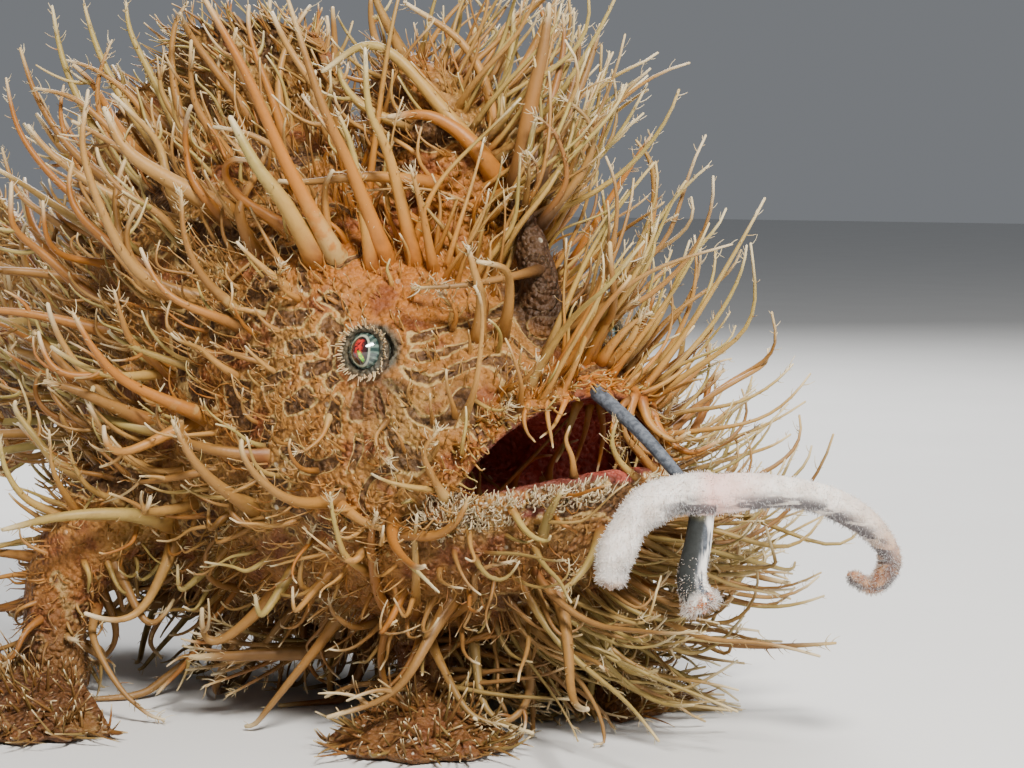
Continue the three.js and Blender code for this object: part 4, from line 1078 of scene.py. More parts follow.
def makeFuzz(name, path, size, material, random):
    count = fuzz[name]
    where = random.random(count)
    if name == "hanging":
        where = 0.35 + 0.65 * where ** 0.35
    at = where * (lureRings - 1)
    low = np.minimum(at.astype(int), lureRings - 2)
    f = (at - low)[:, None]
    middle = mix(path[low], path[low + 1], f)
    spin = 2 * math.pi * random.random(count)
    tangent = unit(np.gradient(path, axis=0))[low]
    first = unit(np.cross(tangent, (0.6, 0.8, 0.1)))
    out = np.cos(spin)[:, None] * first + np.sin(spin)[:, None] * np.cross(tangent, first)
    roots = middle + out * (mix(size[low], size[low + 1], f[:, 0]) - 0.1)[:, None]
    ahead = tangent * (0.9 * step(0.96, 1, where))[:, None]
    lean = unit(out + 0.45 * random.normal(size=(count, 3)) + ahead)
    long = fuzz["long"] * (0.45 + 0.6 * random.random(count))
    if name == "hanging":
        long = long * mix(0.7, 2.2, step(0.8, 1, where))
    share = np.linspace(0, 1, 3)
    paths = roots[:, None] + lean[:, None] * (long[:, None] * share)[..., None]
    paths[:, :, 2] -= 0.12 * long[:, None] * share ** 2
    radii = fuzz["thick"] * (1 - 0.7 * share)[None] * (0.7 + 0.6 * random.random((count, 1)))
    hair = tubes(paths, radii, 3, 83)
    brown = np.full(count, float(name == "far")) + 0.8 * step(0.9, 1, where) * (name == "near")
    if name == "hanging":
        brown = 1.6 * (random.random(count) < 0.6)
    drop = step(0.2, -0.45, out[:, 2]) * underShare(name, where)
    rows = np.repeat(np.stack([where, drop, brown, where * 0], 1), hair["each"], 0)
    rows[:, 3] = hair["share"]
    uv = tuftUv(hair, np.stack([0.5 + 0.3 * (where - 0.5), spin / 7 + 0.03], 1))
    piece = makePiece("lure_fuzz_" + name, hair["points"], hair["faces"], {"worm": rows}, uv)
    finishPiece(piece, material, "lure_worm")


def makeRod(material):
    path = curve(lure["start"] + lure["way"], 90)
    t = np.linspace(0, 1, 90)
    size = lure["rod"] * (1.25 - 0.4 * t) - 0.12
    rings = sum(np.exp(-((t - at) / 0.008) ** 2) for at in (0.20, 0.28))
    size = size + 0.12 * rings
    made = tubes(path[None], size[None], 24, 84)
    share = made["share"]
    rows = np.stack([share, share * 0, np.append(np.repeat(rings, 24), 0), share * 0], 1)
    piece = makePiece("lure_rod_skin", made["points"], made["faces"], {"worm": rows})
    finishPiece(piece, material, "lure_stalk", "lure_rod")


def makeLure(worm, stalk):
    random = np.random.default_rng(81)
    for name in lureArms:
        path, size = bareArm(name)
        if name == "hanging":
            makeArm(name, path, size, stalk, "lure_stalk")
        else:
            makeArm(name, path, size, worm, "lure_worm")
        makeFuzz(name, path, size, worm, random)
    makeRod(stalk)
    print("lure made,", len(lureArms), "arms")


# The coat

coat = {
    "long": {"count": 330, "apart": 5.6, "length": (12, 23), "thick": (0.46, 0.86),
             "sides": 8, "rings": 22, "sink": 1.8, "flare": 1.1},
    "medium": {"count": 1400, "apart": 2.5, "length": (5, 12), "thick": (0.20, 0.42),
               "sides": 6, "rings": 11, "sink": 0.8},
    "fine": {"count": 8350, "apart": 0, "length": (1.4, 5.5), "thick": (0.07, 0.15),
             "sides": 3, "rings": 5, "sink": 0.3, "tones": (0, 0.6)},
    "fringe": {"count": 900, "apart": 1.05, "length": (14, 29), "thick": (0.24, 0.48),
               "sides": 6, "rings": 14, "sink": 0.8, "tones": (0.55, 1)},
    "lip": {"count": 1000, "apart": 0, "length": (0.3, 1.7), "thick": (0.07, 0.17),
            "sides": 4, "rings": 5, "sink": 0.3, "pale": 0.55, "lie": (0, -0.2, 0.7)},
    "edge": {"count": 320, "apart": 0, "length": (0.8, 3.6), "thick": (0.09, 0.20),
             "sides": 4, "rings": 6, "sink": 0.3, "lie": (0, -0.3, -0.8)},
}
habit = {
    "flare": 0.7,         # how much wider a filament is where it leaves the skin
    "sway": 0.42,
    "hook": 0.62,         # how far the last part turns up
    "ceiling": 94.0,      # no filament reaches past these
    "side": 57.0,
    "ahead": -87.0,
    "behind": 91.0,
    "mostTriangles": 190000,
}


def lieAt(p):
    # which way the coat lies: back and up over the flanks, forward and down at the chin
    fore, high = step(-56, -34, p[:, 1]), step(14, 44, p[:, 2])
    return np.stack([np.zeros(len(p)), mix(-0.45, 0.75, fore), mix(-0.7, 0.62, high)], 1)


def sow(points, faces, normals, count, apart, seed, weight):
    # places spread over a surface by its area, no two nearer than apart
    random = np.random.default_rng(seed)
    corners = points[faces]
    area = np.linalg.norm(np.cross(corners[:, 2] - corners[:, 0], corners[:, 3] - corners[:, 1]), axis=1)
    area = area * weight
    tries = 7 * count if apart else count
    pick = random.choice(len(faces), tries, p=area / area.sum())
    u, v = random.random((2, tries, 1))
    c = corners[pick]
    at = mix(mix(c[:, 0], c[:, 1], u), mix(c[:, 3], c[:, 2], u), v)
    out = unit(normals[faces[pick]].sum(1))
    if not apart:
        return at, out
    taken, kept = {}, []
    for i, cell in enumerate(map(tuple, np.floor(at / apart).astype(int))):
        near = [j for a in (-1, 0, 1) for b in (-1, 0, 1) for d in (-1, 0, 1)
                for j in taken.get((cell[0] + a, cell[1] + b, cell[2] + d), ())]
        if near and np.min(np.sum((at[near] - at[i]) ** 2, axis=1)) < apart ** 2:
            continue
        taken.setdefault(cell, []).append(i)
        kept.append(i)
        if len(kept) == count:
            break
    return at[kept], out[kept]


def grow(roots, normals, long, rings, seed, sink, loose, lie):
    # bent paths that leave the skin, turn over to the way the coat lies and hook up at the end
    random = np.random.default_rng(seed)
    many = len(roots)
    lie = lieAt(roots) if lie is None else lie
    sway = random.normal(size=(many, 3)) * habit["sway"] * loose
    out = unit(normals + 0.3 * lie + 0.5 * sway)
    lean = unit(0.4 * normals + lie + sway)
    turn = random.normal(size=(many, 3)) * 0.5
    turn[:, 2] += 0.75 * np.where(roots[:, 2] > 16, 1, -0.1)
    hook = unit(0.7 * lean + habit["hook"] * 2.4 * turn)
    reach = long[:, None]
    a = roots - normals * sink
    b = roots + out * 0.36 * reach
    c = b + lean * 0.34 * reach
    d = c + hook * 0.36 * reach
    t = np.linspace(0, 1, rings)[None, :, None]
    paths = ((1 - t) ** 3 * a[:, None] + 3 * t * (1 - t) ** 2 * b[:, None] +
             3 * t * t * (1 - t) * c[:, None] + t ** 3 * d[:, None])
    phase = random.random((many, 1, 3)) * 6.3
    wave = np.sin(phase + (3 + 4 * random.random((many, 1, 1))) * t)
    return paths + wave * t * (0.03 + 0.06 * random.random((many, 1, 1))) * reach[:, None]


def taper(thick, rings, flare, blunt=0.34):
    t = np.linspace(0, 1, rings)[None]
    return thick[:, None] * (blunt + (1 - blunt) * (1 - t) ** 0.85 + flare * np.exp(-t * 10))


def bent(a, b, c, rings):
    # paths from a to c, drawn towards b
    t = np.linspace(0, 1, rings)[None, :, None]
    return (1 - t) ** 2 * a[:, None] + 2 * t * (1 - t) * b[:, None] + t * t * c[:, None]


def bounded(paths):
    # each filament drawn back inside the room that the solids take up, and off the floor
    root = paths[:, :1]
    share = np.ones(len(paths))
    for k, sign, most in ((2, 1, habit["ceiling"]), (0, 1, habit["side"]), (0, -1, habit["side"]),
                          (1, -1, -habit["ahead"]), (1, 1, habit["behind"])):
        start = sign * root[:, 0, k]
        reach = (sign * paths[..., k]).max(1)
        within = np.minimum(share, (most - start) / (reach - start + 1e-6))
        share = np.where(reach > most, within, share)
    paths = root + (paths - root) * np.clip(share, 0, 1)[:, None, None]
    high = paths[..., 2]
    settled = 0.45 + 1.05 * np.exp(np.minimum(0, high - 1.5) / 1.05)
    paths[..., 2] = np.where(high < 1.5, settled, high)
    return paths, share > 0.45


keepClear = {"eyeReach": (33, 40), "mouthAt": (530, 456), "mouthReach": (62, 34), "wormReach": 3.4,
             "rodReach": 1.9, "columnAt": (532, 284), "columnReach": (22, 62),
             "knobAt": (604, 388), "knobReach": (30, 22)}


def lurePlaces():
    arms = [curve([knotOffset(*p) for p in arm["path"]], 40) for arm in lureArms.values()]
    return np.vstack(arms), curve([(0, -55, 43.4)] + lure["way"], 30)


def isClear(paths):
    # false for a filament in front of an eye, in the mouth's opening or through the lure
    many, rings = paths.shape[:2]
    flat = paths.reshape(-1, 3)
    bad = np.zeros(len(flat), bool)
    for side in (-1, 1):
        off = flat - eyeCentre(side)
        ahead = np.maximum(0, off @ eyeAxis(side))
        away = np.linalg.norm(off - ahead[:, None] * eyeAxis(side), axis=1)
        bad |= (away < eye["radius"] + 1.4 + 0.12 * ahead) & (ahead < 30)
    pixels, depth = toPixels(flat)
    eyePixel, eyeDepth = toPixels(eyeCentre(-1)[None])
    before = depth < eyeDepth[0] - 1.5
    bad |= before & (np.linalg.norm((pixels - eyePixel[0]) / keepClear["eyeReach"], axis=1) < 1)
    for part, place in (("mouth", (-9, -55, 33)), ("column", (0, -44, 60)), ("knob", (0, -55, 44))):
        front = depth < toPixels(np.array([place], float))[1][0] + 5
        gap = np.linalg.norm((pixels - keepClear[part + "At"]) / keepClear[part + "Reach"], axis=1)
        bad |= front & (gap < 1)
    arms, rod = lurePlaces()
    near = np.linalg.norm(flat - arms.mean(0), axis=1) < 34
    close = np.zeros(len(flat), bool)
    for places, reach in ((arms, keepClear["wormReach"]), (rod, keepClear["rodReach"])):
        gap = np.full(near.sum(), 99.0)
        for place in places:
            gap = np.minimum(gap, np.linalg.norm(flat[near] - place, axis=1))
        close[near] |= gap < reach
    bad |= close
    wormPixels = toPixels(arms)[0]
    ahead = depth < toPixels(arms.mean(0)[None])[1][0] + 6
    shown = np.full(ahead.sum(), 99.0)
    for place in wormPixels[::3]:
        shown = np.minimum(shown, np.linalg.norm(pixels[ahead] - place, axis=1))
    hidden = np.zeros(len(flat), bool)
    hidden[ahead] = shown < 26
    bad |= hidden
    return ~bad.reshape(many, rings).any(1)


def twigs(parents, radii, per, long, thick, span, rings, seed, rise=0.9):
    # small branches that leave their parents sideways; also gives the parent of each
    random = np.random.default_rng(seed)
    many, steps = radii.shape
    who = np.repeat(np.arange(many), per)
    where = mix(span[0], span[1], random.random(len(who))) * (steps - 1)
    low = np.minimum(where.astype(int), steps - 2)
    f = (where - low)[:, None]
    at = mix(parents[who, low], parents[who, low + 1], f)
    tangent = unit(parents[who, low + 1] - parents[who, low])
    aside = unit(np.cross(tangent, random.normal(size=(len(who), 3))))
    size = mix(*long, random.random(len(who)) ** 1.5)[:, None]
    end = at + tangent * size * rise * 0.55 + aside * size * 0.75
    middle = at + aside * size * 0.45 + tangent * size * 0.1
    paths = bent(at, middle, end, rings)
    own = mix(*thick, random.random(len(who)))
    parent = mix(radii[who, low], radii[who, low + 1], f[:, 0])
    return paths, taper(np.minimum(own, 0.8 * parent), rings, 0.25), who, where / (steps - 1)


def coatPieces(name, paths, radii, sides, roots, material, seed, start=None, **look):
    # as many pieces as it takes to keep each under the most triangles
    each = sides * (2 * (paths.shape[1] - 1) + 1)
    per = habit["mostTriangles"] // each
    total = math.ceil(len(paths) / per)
    for i in range(total):
        part = slice(i * per, (i + 1) * per)
        number = f"_{i + 1}" if total > 1 else ""
        begins = None if start is None else start[part]
        coatPiece(name + number, paths[part], radii[part], sides, roots[part], material, seed + i,
                  start=begins, **look)


def faceNormals(points, faces):
    a, b, c, d = (points[faces[:, k]] for k in range(4))
    return unit(np.cross(c - a, d - b))


def makeCoat(points, faces, material):
    normals = pointNormals(points, faces)
    marks = markings(points)
    middle = points[faces].mean(1)
    red, ring, lip = (marks[faces, k].mean(1) for k in (2, 3, 4))
    off = np.abs(middle[:, :1]) * (1, 0, 0) + middle * (0, 1, 1) - eyeCentre(1)
    fromEye = np.linalg.norm(off, axis=1)
    face = step(19, 12, fromEye) * (middle[:, 1] < -20)
    bare = (red < 0.15) * (ring < 0.3) * (middle[:, 2] > 1.2)
    limbs = 1 - 0.1 * step(30, 34, np.abs(middle[:, 0]))
    cheek = (middle[:, 0] < 4) * (middle[:, 1] < -26) * (middle[:, 2] > 22)
    arch = np.linalg.norm((middle - (0, mouth["front"], mouth["floor"])) /
                          (mouth["half"], mouth["depth"], mouth["height"]), axis=1)
    above = middle[:, 2] > mouthLine(middle[:, 1]) + 1
    arch = (np.abs(arch - 1.1) < 0.09) * above * (depthIn(middle) > 0.85)
    far = step(0.05, 0.5, faceNormals(points, faces) @ imageRight) * step(-12, -30, middle[:, 1])
    low = mix(1.9, 1, step(26, 36, middle[:, 2]))
    weights = {"fringe": bare * far * (lip < 0.3) * (1 - face) * low,
               "long": bare * (1 - face) * (lip < 0.2) * limbs * (1 - 0.75 * cheek),
               "medium": bare * (1 - 0.8 * face) * (1 - 0.6 * lip) * (1 - 0.4 * cheek),
               "fine": bare * (1 + 0.5 * face),
               "edge": arch * (red < 0.5),
               "lip": (lip > 0.25) * bare}
    kept = {}
    for i, kind in enumerate(("long", "medium", "fine", "fringe", "lip", "edge")):
        setting = coat[kind]
        count = setting["count"]
        roots, out = sow(points, faces, normals, count, setting["apart"], 101 + i, weights[kind])
        size = np.random.default_rng(111 + i).random(len(roots))
        off = np.abs(roots[:, :1]) * (1, 0, 0) + roots * (0, 1, 1) - eyeCentre(1)
        nearFace = step(21, 10, np.linalg.norm(off, axis=1)) * (kind not in ("lip", "edge"))
        long = mix(*setting["length"], size ** 1.3) * (1 - 0.55 * nearFace) * step(-2, 9, roots[:, 2])
        long = long * mix(1, 0.7, step(30, 34, np.abs(roots[:, 0])))
        lie = np.array(setting["lie"]) if "lie" in setting else None
        if kind == "fringe":
            high = step(18, 46, roots[:, 2])[:, None]
            lie = mix(np.array([0.95, -0.5, -0.10]), np.array([0.55, -0.2, 0.85]), high)
        loose = 0.6 if kind == "fringe" else 1
        paths = grow(roots, out, long, setting["rings"], 121 + i, setting["sink"], loose, lie)
        paths, fits = bounded(paths)
        if kind not in ("lip", "edge"):
            fits &= isClear(paths) & (long > 1)
        radii = taper(mix(*setting["thick"], size), setting["rings"], setting.get("flare", habit["flare"]))
        kept[kind] = (paths[fits], radii[fits], roots[fits])
        coatPieces("coat_" + kind, *kept[kind][:2], setting["sides"], kept[kind][2], material, 131 + i,
                   pale=setting.get("pale", 0.0), tones=setting.get("tones", (0, 1)))
    paths, radii, roots = kept["long"]
    branch(paths, radii, roots, "long", 9, (0.7, 2.2), (0.06, 0.11), material, 141)
    branchEnds(paths, radii, roots, "long", material, 143, 2, 3)
    fork(paths, radii, roots, "fork", material, 151)
    for kind, per, seed, first in (("medium", 2, 161, 0.12), ("fringe", 5, 165, 0.45)):
        paths, radii, roots = kept[kind]
        branch(paths, radii, roots, kind, per, (0.5, 1.8), (0.05, 0.09), material, seed, first)
    branchEnds(paths, radii, roots, "fringe", material, 167, 2, 3)


def branch(paths, radii, roots, name, per, long, thick, material, seed, first=0.12):
    twig, size, who, start = twigs(paths, radii, per, long, thick, (first, 0.99), 4, seed)
    coatPieces("coat_twigs_" + name, twig, size, 3, roots[who], material, seed, start=start)


def fork(paths, radii, roots, name, material, seed):
    # some long filaments split once or twice towards the tip
    random = np.random.default_rng(seed)
    pick = random.random(len(paths)) < 0.4
    paths, radii, roots = paths[pick], radii[pick], roots[pick]
    twig, size, who, start = twigs(paths, radii, 2, (2.5, 6), (0.3, 0.45), (0.5, 0.85), 10, seed + 1,
                                   rise=1.9)
    twig, fits = bounded(twig)
    fits &= isClear(twig)
    twig, size, roots = twig[fits], size[fits], roots[who[fits]]
    coatPieces("coat_" + name, twig, size, 7, roots, material, seed, start=start[fits])
    branch(twig, size, roots, name, 3, (0.5, 1.4), (0.05, 0.08), material, seed + 2)


# Filaments placed one by one, by pixels of the photo's view: root, points on the way and tip, width in
# pixels at the middle, how far it stands off in mm, and bare where it has no twigs
placed = [
    # the brow row, left to right
    {"by": [(232, 214), (166, 178), (126, 149), (104, 108)], "wide": 17, "off": 4},
    {"by": [(319, 262), (286, 206), (256, 165), (230, 117)], "wide": 18, "off": 5},
    {"by": [(339, 262), (288, 167), (245, 72), (202, -6)], "wide": 14, "off": 7},
    {"by": [(388, 264), (351, 169), (321, 102), (288, 0)], "wide": 13, "off": 7},
    {"by": [(372, 270), (362, 205), (352, 150), (338, 112)], "wide": 10, "off": 3},
    {"by": [(416, 266), (390, 160), (369, 108), (365, 48)], "wide": 11, "off": 6},
    {"by": [(434, 272), (424, 220), (417, 190), (410, 165)], "wide": 8, "off": 5},
    {"by": [(478, 340), (481, 300), (474, 270), (468, 246)], "wide": 11, "off": 5},
    {"by": [(540, 270), (500, 279), (455, 286), (412, 288)], "wide": 8, "off": 9},
    {"by": [(508, 240), (470, 205), (421, 189), (346, 192)], "wide": 5, "off": 7},
    {"by": [(192, 262), (183, 225), (180, 205), (179, 187)], "wide": 5, "off": 4},
    # the crown of the second spine
    {"by": [(519, 190), (530, 110), (543, 50), (549, 4)], "wide": 17, "off": 2},
    {"by": [(507, 186), (470, 140), (430, 116), (388, 117)], "wide": 17, "off": 5},
    {"by": [(503, 176), (450, 116), (400, 60), (364, 46), (322, 72)], "wide": 14, "off": 3},
    {"by": [(510, 172), (494, 96), (462, 42), (404, 2)], "wide": 12, "off": 1},
    {"by": [(500, 150), (502, 100), (512, 50), (513, 6)], "wide": 10, "off": -3},
    {"by": [(560, 175), (562, 110), (566, 55), (563, 14)], "wide": 9, "off": -4},
    {"by": [(566, 178), (575, 120), (580, 70), (579, 26)], "wide": 9, "off": -5},
    {"by": [(570, 180), (585, 110), (594, 60), (600, 24)], "wide": 9, "off": -6},
    {"by": [(566, 212), (597, 160), (592, 122), (558, 94)], "wide": 8, "off": 3},
    {"by": [(552, 217), (571, 178), (558, 136), (532, 113)], "wide": 6, "off": 5},
    {"by": [(524, 216), (527, 190), (529, 172), (526, 150)], "wide": 6, "off": 6},
    {"by": [(572, 268), (606, 208), (634, 162), (652, 134)], "wide": 7, "off": 2},
    {"by": [(625, 270), (655, 208), (654, 166), (636, 140)], "wide": 8, "off": 1},
    # the near flank, with claws that turn up
    {"by": [(186, 305), (136, 270), (104, 215), (83, 149), (88, 90)], "wide": 11, "off": 6},
    {"by": [(241, 314), (204, 278), (185, 238), (181, 190)], "wide": 9, "off": 5},
    {"by": [(208, 418), (130, 384), (96, 352), (72, 312)], "wide": 11, "off": 7},
    {"by": [(172, 376), (134, 344), (121, 316), (114, 290)], "wide": 8, "off": 5},
    {"by": [(158, 426), (110, 405), (75, 390), (44, 381)], "wide": 13, "off": 6},
    {"by": [(172, 522), (120, 514), (60, 517), (2, 530)], "wide": 14, "off": 8},
    {"by": [(256, 510), (216, 484), (190, 455), (172, 420)], "wide": 12, "off": 7},
    {"by": [(70, 518), (28, 500), (6, 470), (-2, 430)], "wide": 8, "off": 4},
    {"by": [(78, 512), (62, 490), (52, 465), (49, 430)], "wide": 7, "off": 6},
    {"by": [(126, 506), (90, 488), (74, 465), (68, 440)], "wide": 6, "off": 5},
    {"by": [(246, 590), (212, 580), (207, 552), (230, 524)], "wide": 7, "off": 6},
    {"by": [(216, 614), (184, 604), (172, 582), (175, 562)], "wide": 7, "off": 7},
    {"by": [(190, 600), (128, 613), (104, 620), (68, 636), (78, 641)], "wide": 11, "off": 8},
    {"by": [(112, 617), (101, 645), (124, 692), (165, 728)], "wide": 8, "off": 9},
    {"by": [(236, 612), (196, 654), (150, 690), (112, 720), (76, 764)], "wide": 10, "off": 8},
    # the cheek: a bundle that points left and a cluster that spreads from one place
    {"by": [(372, 648), (328, 657), (250, 657), (190, 657)], "wide": 17, "off": 9},
    {"by": [(318, 627), (280, 629), (245, 630), (216, 634)], "wide": 12, "off": 8},
    {"by": [(366, 644), (290, 650), (236, 644), (190, 632)], "wide": 7, "off": 10},
    {"by": [(366, 647), (290, 653), (236, 654), (182, 646)], "wide": 7, "off": 10},
    {"by": [(366, 650), (290, 658), (236, 664), (186, 670)], "wide": 7, "off": 10},
    {"by": [(366, 653), (296, 661), (250, 672), (204, 686)], "wide": 6, "off": 10},
    {"by": [(366, 655), (302, 664), (264, 678), (226, 696)], "wide": 6, "off": 9},
    {"by": [(366, 642), (300, 645), (250, 634), (206, 616)], "wide": 6, "off": 9},
    {"by": [(402, 620), (380, 597), (371, 545), (377, 512)], "wide": 12, "off": 6},
    {"by": [(415, 614), (416, 580), (415, 545), (417, 514)], "wide": 9, "off": 7},
    {"by": [(441, 622), (472, 600), (478, 572), (517, 560)], "wide": 8, "off": 6},
    {"by": [(424, 624), (443, 668), (470, 713), (508, 727)], "wide": 9, "off": 7},
    {"by": [(486, 665), (484, 690), (480, 712), (474, 730)], "wide": 11, "off": 4},
    {"by": [(383, 620), (355, 627), (335, 615), (328, 598)], "wide": 7, "off": 5},
    {"by": [(332, 596), (302, 586), (304, 555), (316, 524)], "wide": 6, "off": 5},
    {"by": [(380, 530), (430, 536), (455, 523), (470, 497)], "wide": 11, "off": 5},
    {"by": [(332, 499), (360, 520), (380, 528), (400, 535)], "wide": 10, "off": 4},
    {"by": [(368, 572), (345, 555), (334, 520), (330, 492)], "wide": 7, "off": 6},
    {"by": [(532, 618), (552, 606), (568, 585), (578, 570)], "wide": 8, "off": 6},
    {"by": [(540, 545), (547, 520), (556, 500), (563, 490)], "wide": 10, "off": 5},
    {"by": [(566, 691), (600, 728), (618, 745), (640, 762)], "wide": 12, "off": 5},
    {"by": [(620, 662), (672, 697), (700, 712), (722, 720)], "wide": 12, "off": 3},
    {"by": [(612, 643), (677, 651), (748, 650), (836, 643)], "wide": 10, "off": 3},
    {"by": [(602, 530), (590, 560), (575, 580), (560, 591)], "wide": 9, "off": 6},
    # strands that hang from the lure's knob over the mouth
    {"by": [(578, 402), (570, 425), (564, 445), (556, 462)], "wide": 7, "off": 0, "bare": True},
    {"by": [(590, 405), (586, 428), (580, 448), (575, 463)], "wide": 6, "off": 0, "bare": True},
    {"by": [(600, 404), (603, 430), (601, 452), (597, 472)], "wide": 6, "off": -1, "bare": True},
    {"by": [(546, 396), (548, 420), (551, 436), (553, 448)], "wide": 5, "off": 1, "bare": True},
    {"by": [(612, 402), (618, 430), (618, 455), (612, 478)], "wide": 6, "off": 0, "bare": True},
    {"by": [(624, 404), (634, 428), (638, 452), (633, 474)], "wide": 5, "off": 1, "bare": True},
    {"by": [(636, 408), (652, 430), (660, 452), (662, 476)], "wide": 6, "off": 2, "bare": True},
    {"by": [(528, 404), (524, 418), (527, 432), (535, 442)], "wide": 5, "off": 1, "bare": True},
    {"by": [(566, 398), (560, 414), (552, 428), (540, 438)], "wide": 5, "off": 1, "bare": True},
    # and over its far half
    {"by": [(640, 396), (650, 424), (672, 440), (690, 432)], "wide": 9, "off": 3},
    {"by": [(634, 392), (630, 422), (642, 448), (664, 458)], "wide": 8, "off": 3},
    {"by": [(652, 400), (664, 432), (690, 452), (722, 440)], "wide": 9, "off": 4},
    {"by": [(656, 474), (640, 454), (626, 436), (622, 414)], "wide": 9, "off": 4},
    {"by": [(640, 482), (620, 462), (612, 442), (617, 420)], "wide": 7, "off": 3},
    {"by": [(662, 466), (668, 442), (664, 420), (676, 398)], "wide": 8, "off": 3},
    {"by": [(628, 398), (616, 416), (612, 438), (624, 452)], "wide": 6, "off": 3},
    {"by": [(548, 480), (552, 462), (562, 446), (578, 440)], "wide": 6, "off": 3, "bare": True},
    {"by": [(574, 478), (572, 458), (566, 440), (570, 426)], "wide": 6, "off": 2, "bare": True},
    {"by": [(512, 486), (520, 470), (535, 458), (552, 455)], "wide": 6, "off": 3, "bare": True},
    # the long ones of the back, up to the corner of the picture
    {"by": [(112, 152), (82, 112), (62, 62), (52, 6)], "wide": 9, "off": 0},
    {"by": [(132, 122), (112, 90), (96, 50), (84, 4)], "wide": 9, "off": 0},
    {"by": [(152, 102), (140, 62), (128, 30), (126, 2)], "wide": 8, "off": 1},
    {"by": [(94, 172), (60, 142), (36, 100), (20, 48)], "wide": 9, "off": 0},
    {"by": [(72, 202), (40, 172), (16, 130), (6, 78)], "wide": 8, "off": 1},
    {"by": [(172, 84), (166, 52), (172, 24), (188, 2)], "wide": 8, "off": 1},
    {"by": [(122, 142), (100, 118), (72, 96), (34, 88)], "wide": 8, "off": 2},
    {"by": [(60, 232), (36, 212), (14, 190), (2, 148)], "wide": 8, "off": 2},
    {"by": [(104, 160), (92, 122), (94, 84), (112, 40)], "wide": 7, "off": 2},
    {"by": [(142, 112), (124, 82), (98, 68), (66, 60)], "wide": 7, "off": 2},
    {"by": [(84, 188), (66, 160), (58, 120), (64, 84)], "wide": 7, "off": 2},
    # in front of the far eye, which the photo doesn't show
    {"by": [(590, 358), (600, 338), (614, 318), (640, 296)], "wide": 11, "off": 2},
    {"by": [(600, 362), (613, 344), (630, 326), (652, 312)], "wide": 10, "off": 2},
    {"by": [(608, 366), (622, 350), (634, 334), (644, 308)], "wide": 9, "off": 3},
    {"by": [(584, 350), (592, 326), (604, 306), (622, 280)], "wide": 8, "off": 3},
    # short ones on the face
    {"by": [(446, 500), (432, 476), (424, 452), (440, 428)], "wide": 8, "off": 4},
    {"by": [(452, 330), (456, 316), (450, 300), (438, 292)], "wide": 5, "off": 3},
    {"by": [(500, 392), (518, 384), (532, 372), (540, 356)], "wide": 6, "off": 4},
    {"by": [(470, 398), (488, 408), (500, 410), (512, 404)], "wide": 4, "off": 3},
    {"by": [(300, 300), (284, 290), (279, 275), (283, 262)], "wide": 5, "off": 3},
    {"by": [(330, 416), (322, 436), (306, 450), (294, 452)], "wide": 5, "off": 3},
    {"by": [(388, 420), (376, 436), (380, 456), (392, 462)], "wide": 5, "off": 3},
    {"by": [(410, 300), (416, 290), (430, 284), (450, 284)], "wide": 4, "off": 3},
]


def skinBeside(tree, way):
    # the point of the skin that a ray which misses it passes nearest to
    found = [tree.find_nearest(Vector(cameraPlace + way * away)) for away in np.arange(225, 345, 2.0)]
    return np.array(min(found, key=lambda hit: hit[3])[0])


def placeFilaments(tree, material):
    rings, found = 34, []
    for item in placed:
        pixels = curve([(x, y, 0) for x, y in item["by"]], rings)[:, :2]
        depths = []
        for pixel in pixels:
            hit = tree.ray_cast(Vector(cameraPlace), Vector(rayThrough(pixel)))
            depths.append((Vector(hit[0]) - Vector(cameraPlace)).dot(Vector(-toCamera)) if hit[0] else 1e3)
        depths = np.array(depths)
        missed = depths[0] > 900
        if missed:
            nearest = skinBeside(tree, rayThrough(pixels[0]))
            start = toPixels(nearest[None])[1][0]
        else:
            start = depths[0]
        t = np.linspace(0, 1, rings)
        own = start - item["off"] * np.sin(np.minimum(t * 1.25, 1) * math.pi / 2)
        clear = depths - 1.4 * step(0.05, 0.25, t) + 0.6 * (t < 0.04)
        if not item.get("bare"):
            own = np.minimum(own, np.where(t < 0.04, own, clear))
        for _ in range(14):
            own[1:-1] = (own[:-2] + own[1:-1] + own[2:]) / 3
        own[0] = start + 0.8
        own[:3] += item["wide"] / 16 * np.array([1, 0.6, 0.2])
        rays = np.array([rayThrough(p) for p in pixels])
        path = cameraPlace + rays * (own / (rays @ -toCamera))[:, None]
        if missed:
            path = path + (nearest - path[0]) * ((1 - t) ** 2)[:, None]
        thick = item["wide"] / 2 * own.mean() / pixelsAtOne
        found.append((path, thick))
    paths = np.array([p for p, _ in found])
    paths, _ = bounded(paths)
    thick = np.array([w for _, w in found])
    t = np.linspace(0, 1, rings)[None]
    radii = thick[:, None] * (0.28 + 0.84 * (1 - t) ** 0.7 + 0.75 * np.exp(-t * 9))
    roots = paths[:, 0]
    coatPieces("coat_placed", paths, radii, 16, roots, material, 191)
    rich = np.array([not item.get("bare") for item in placed])
    branch(paths[rich], radii[rich], roots[rich], "placed", 38, (0.6, 2.4), (0.06, 0.12), material, 192)
    branchEnds(paths[rich], radii[rich], roots[rich], "placed", material, 193)


def branchEnds(paths, radii, roots, name, material, seed, per=4, sides=4):
    # frilly ends: a bunch of short pale fingers round each tip
    twig, size, who, start = twigs(paths, radii, per, (0.5, 1.6), (0.05, 0.11), (0.84, 1.0), 4, seed,
                                   rise=1.8)
    coatPieces("coat_ends_" + name, twig, size, sides, roots[who], material, seed, pale=0.35, start=start)


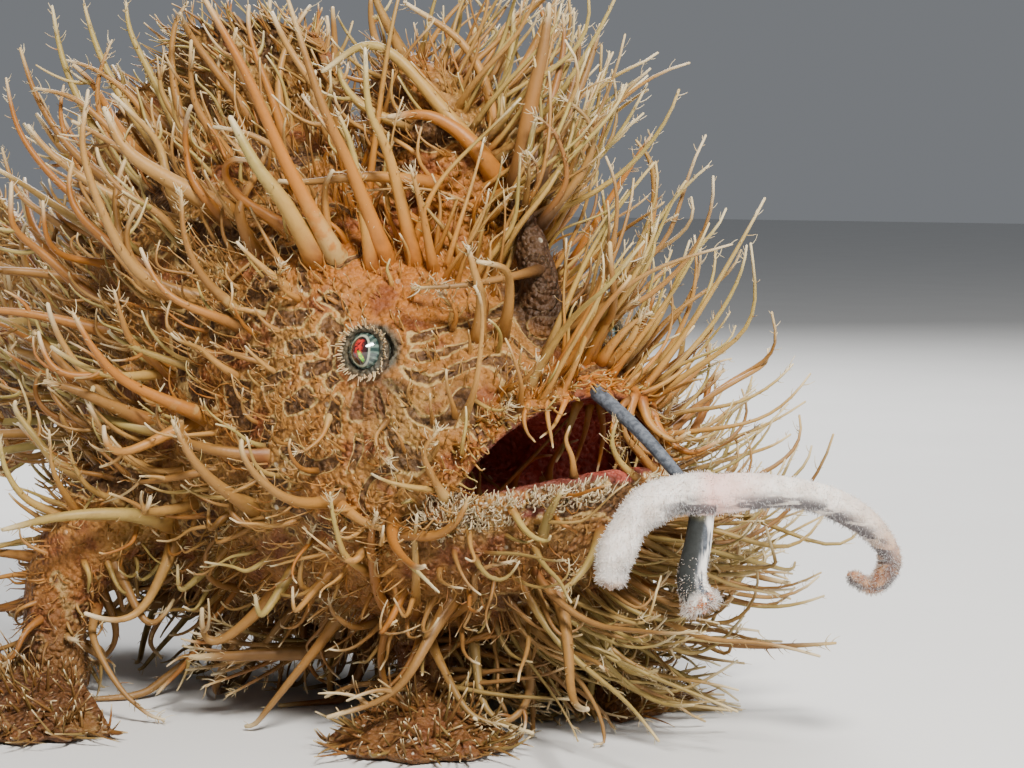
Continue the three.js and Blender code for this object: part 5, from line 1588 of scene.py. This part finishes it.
def makeFinCoat(sheets, material):
    # short filaments along the rays and the edges of the fins
    for i, (name, (sheet, normal)) in enumerate(sheets.items()):
        random = np.random.default_rng(171 + i)
        wide, long = sheet.shape[:2]
        count = wide * (9 if "dorsal" in name or "tail" in name else 6)
        c = random.integers(0, wide, count)
        r = np.minimum((long * (1 - random.random(count) ** 1.6 * 0.9)).astype(int), long - 1)
        side = np.where(random.random(count) < 0.5, -1.0, 1.0)[:, None]
        roots, out = sheet[c, r], normal[c, r] * side
        alongRay = unit(sheet[c, np.minimum(r + 1, long - 1)] - sheet[c, np.maximum(r - 1, 0)])
        out = unit(out + alongRay * mix(0.5, 1.6, (r / long) ** 3)[:, None])
        size = mix(2.0, 6.5, random.random(count) ** 1.6)
        if "pelvic" in name or "pectoral" in name:
            size = size * 1.2
            out[:, 2] = np.maximum(out[:, 2], 0.15)
        a, b = roots, roots + out * size[:, None] * 0.5
        lean = unit(out + 0.5 * random.normal(size=(count, 3)) + (0, 0, 0.35))
        d = b + lean * size[:, None] * 0.55
        paths, fits = bounded(bent(a, b, d, 8))
        radii = taper(mix(0.13, 0.32, random.random(count)), 8, 0.6)
        coatPieces("coat_" + name, paths[fits], radii[fits], 4, roots[fits], material, 181 + i)


# Light and floor

def addLight(name, place, aim, size, power, colour=(1, 1, 1)):
    lamp = bpy.data.lights.new(name, "AREA")
    lamp.shape, lamp.size, lamp.energy, lamp.color = "DISK", size, power, colour
    holder = bpy.data.objects.new(name, lamp)
    holder.location = place
    holder.rotation_euler = (Vector(aim) - Vector(place)).to_track_quat("-Z", "Y").to_euler()
    bpy.context.scene.collection.objects.link(holder)


def addStudio():
    floor = bpy.data.meshes.new("floor")
    reach = 3.0
    corners = [(-reach, -reach, 0), (reach, -reach, 0), (reach, reach, 0), (-reach, reach, 0)]
    floor.from_pydata(corners, [], [(0, 1, 2, 3)])
    holder = bpy.data.objects.new("floor", floor)
    bpy.context.scene.collection.objects.link(holder)
    paint = Paint("paleFloor")
    pale = paint.mix(paint.noise(40, 2), (0.66, 0.655, 0.64), (0.72, 0.715, 0.70))
    holder.data.materials.append(paint.finish(pale, Roughness=0.8))
    world = bpy.data.worlds.new("softRoom")
    world.use_nodes = True
    world.node_tree.nodes["Background"].inputs["Color"].default_value = (0.80, 0.84, 0.90, 1)
    world.node_tree.nodes["Background"].inputs["Strength"].default_value = 0.23
    bpy.context.scene.world = world
    head = (0, -0.045, 0.045)
    addLight("key", (-0.20, -0.44, 0.48), head, 0.15, 9.4, (1.0, 0.96, 0.90))
    addLight("fill", (0.30, -0.60, 0.22), head, 0.40, 1.2, (0.94, 0.97, 1.0))
    addLight("back", (0.34, 0.36, 0.42), head, 0.30, 5.0)
    print("floor and lights")


# Everything in its order

skinPaint = skinMaterial()
coatPaint = coatMaterial()
skinPoints, skinFaces = makeSkin(skinPaint)
finSheets = makeFins(skinPaint)
eyePaint = eyeMaterial()
for side in (-1, 1):
    makeEye(side, eyePaint, coatPaint)
makeLure(wormMaterial(), rodMaterial())
makeCoat(skinPoints, skinFaces, coatPaint)
makeFinCoat(finSheets, coatPaint)
tree = BVHTree.FromPolygons([Vector(p) for p in skinPoints.tolist()], skinFaces.tolist())
placeFilaments(tree, coatPaint)
addStudio()
addCamera()
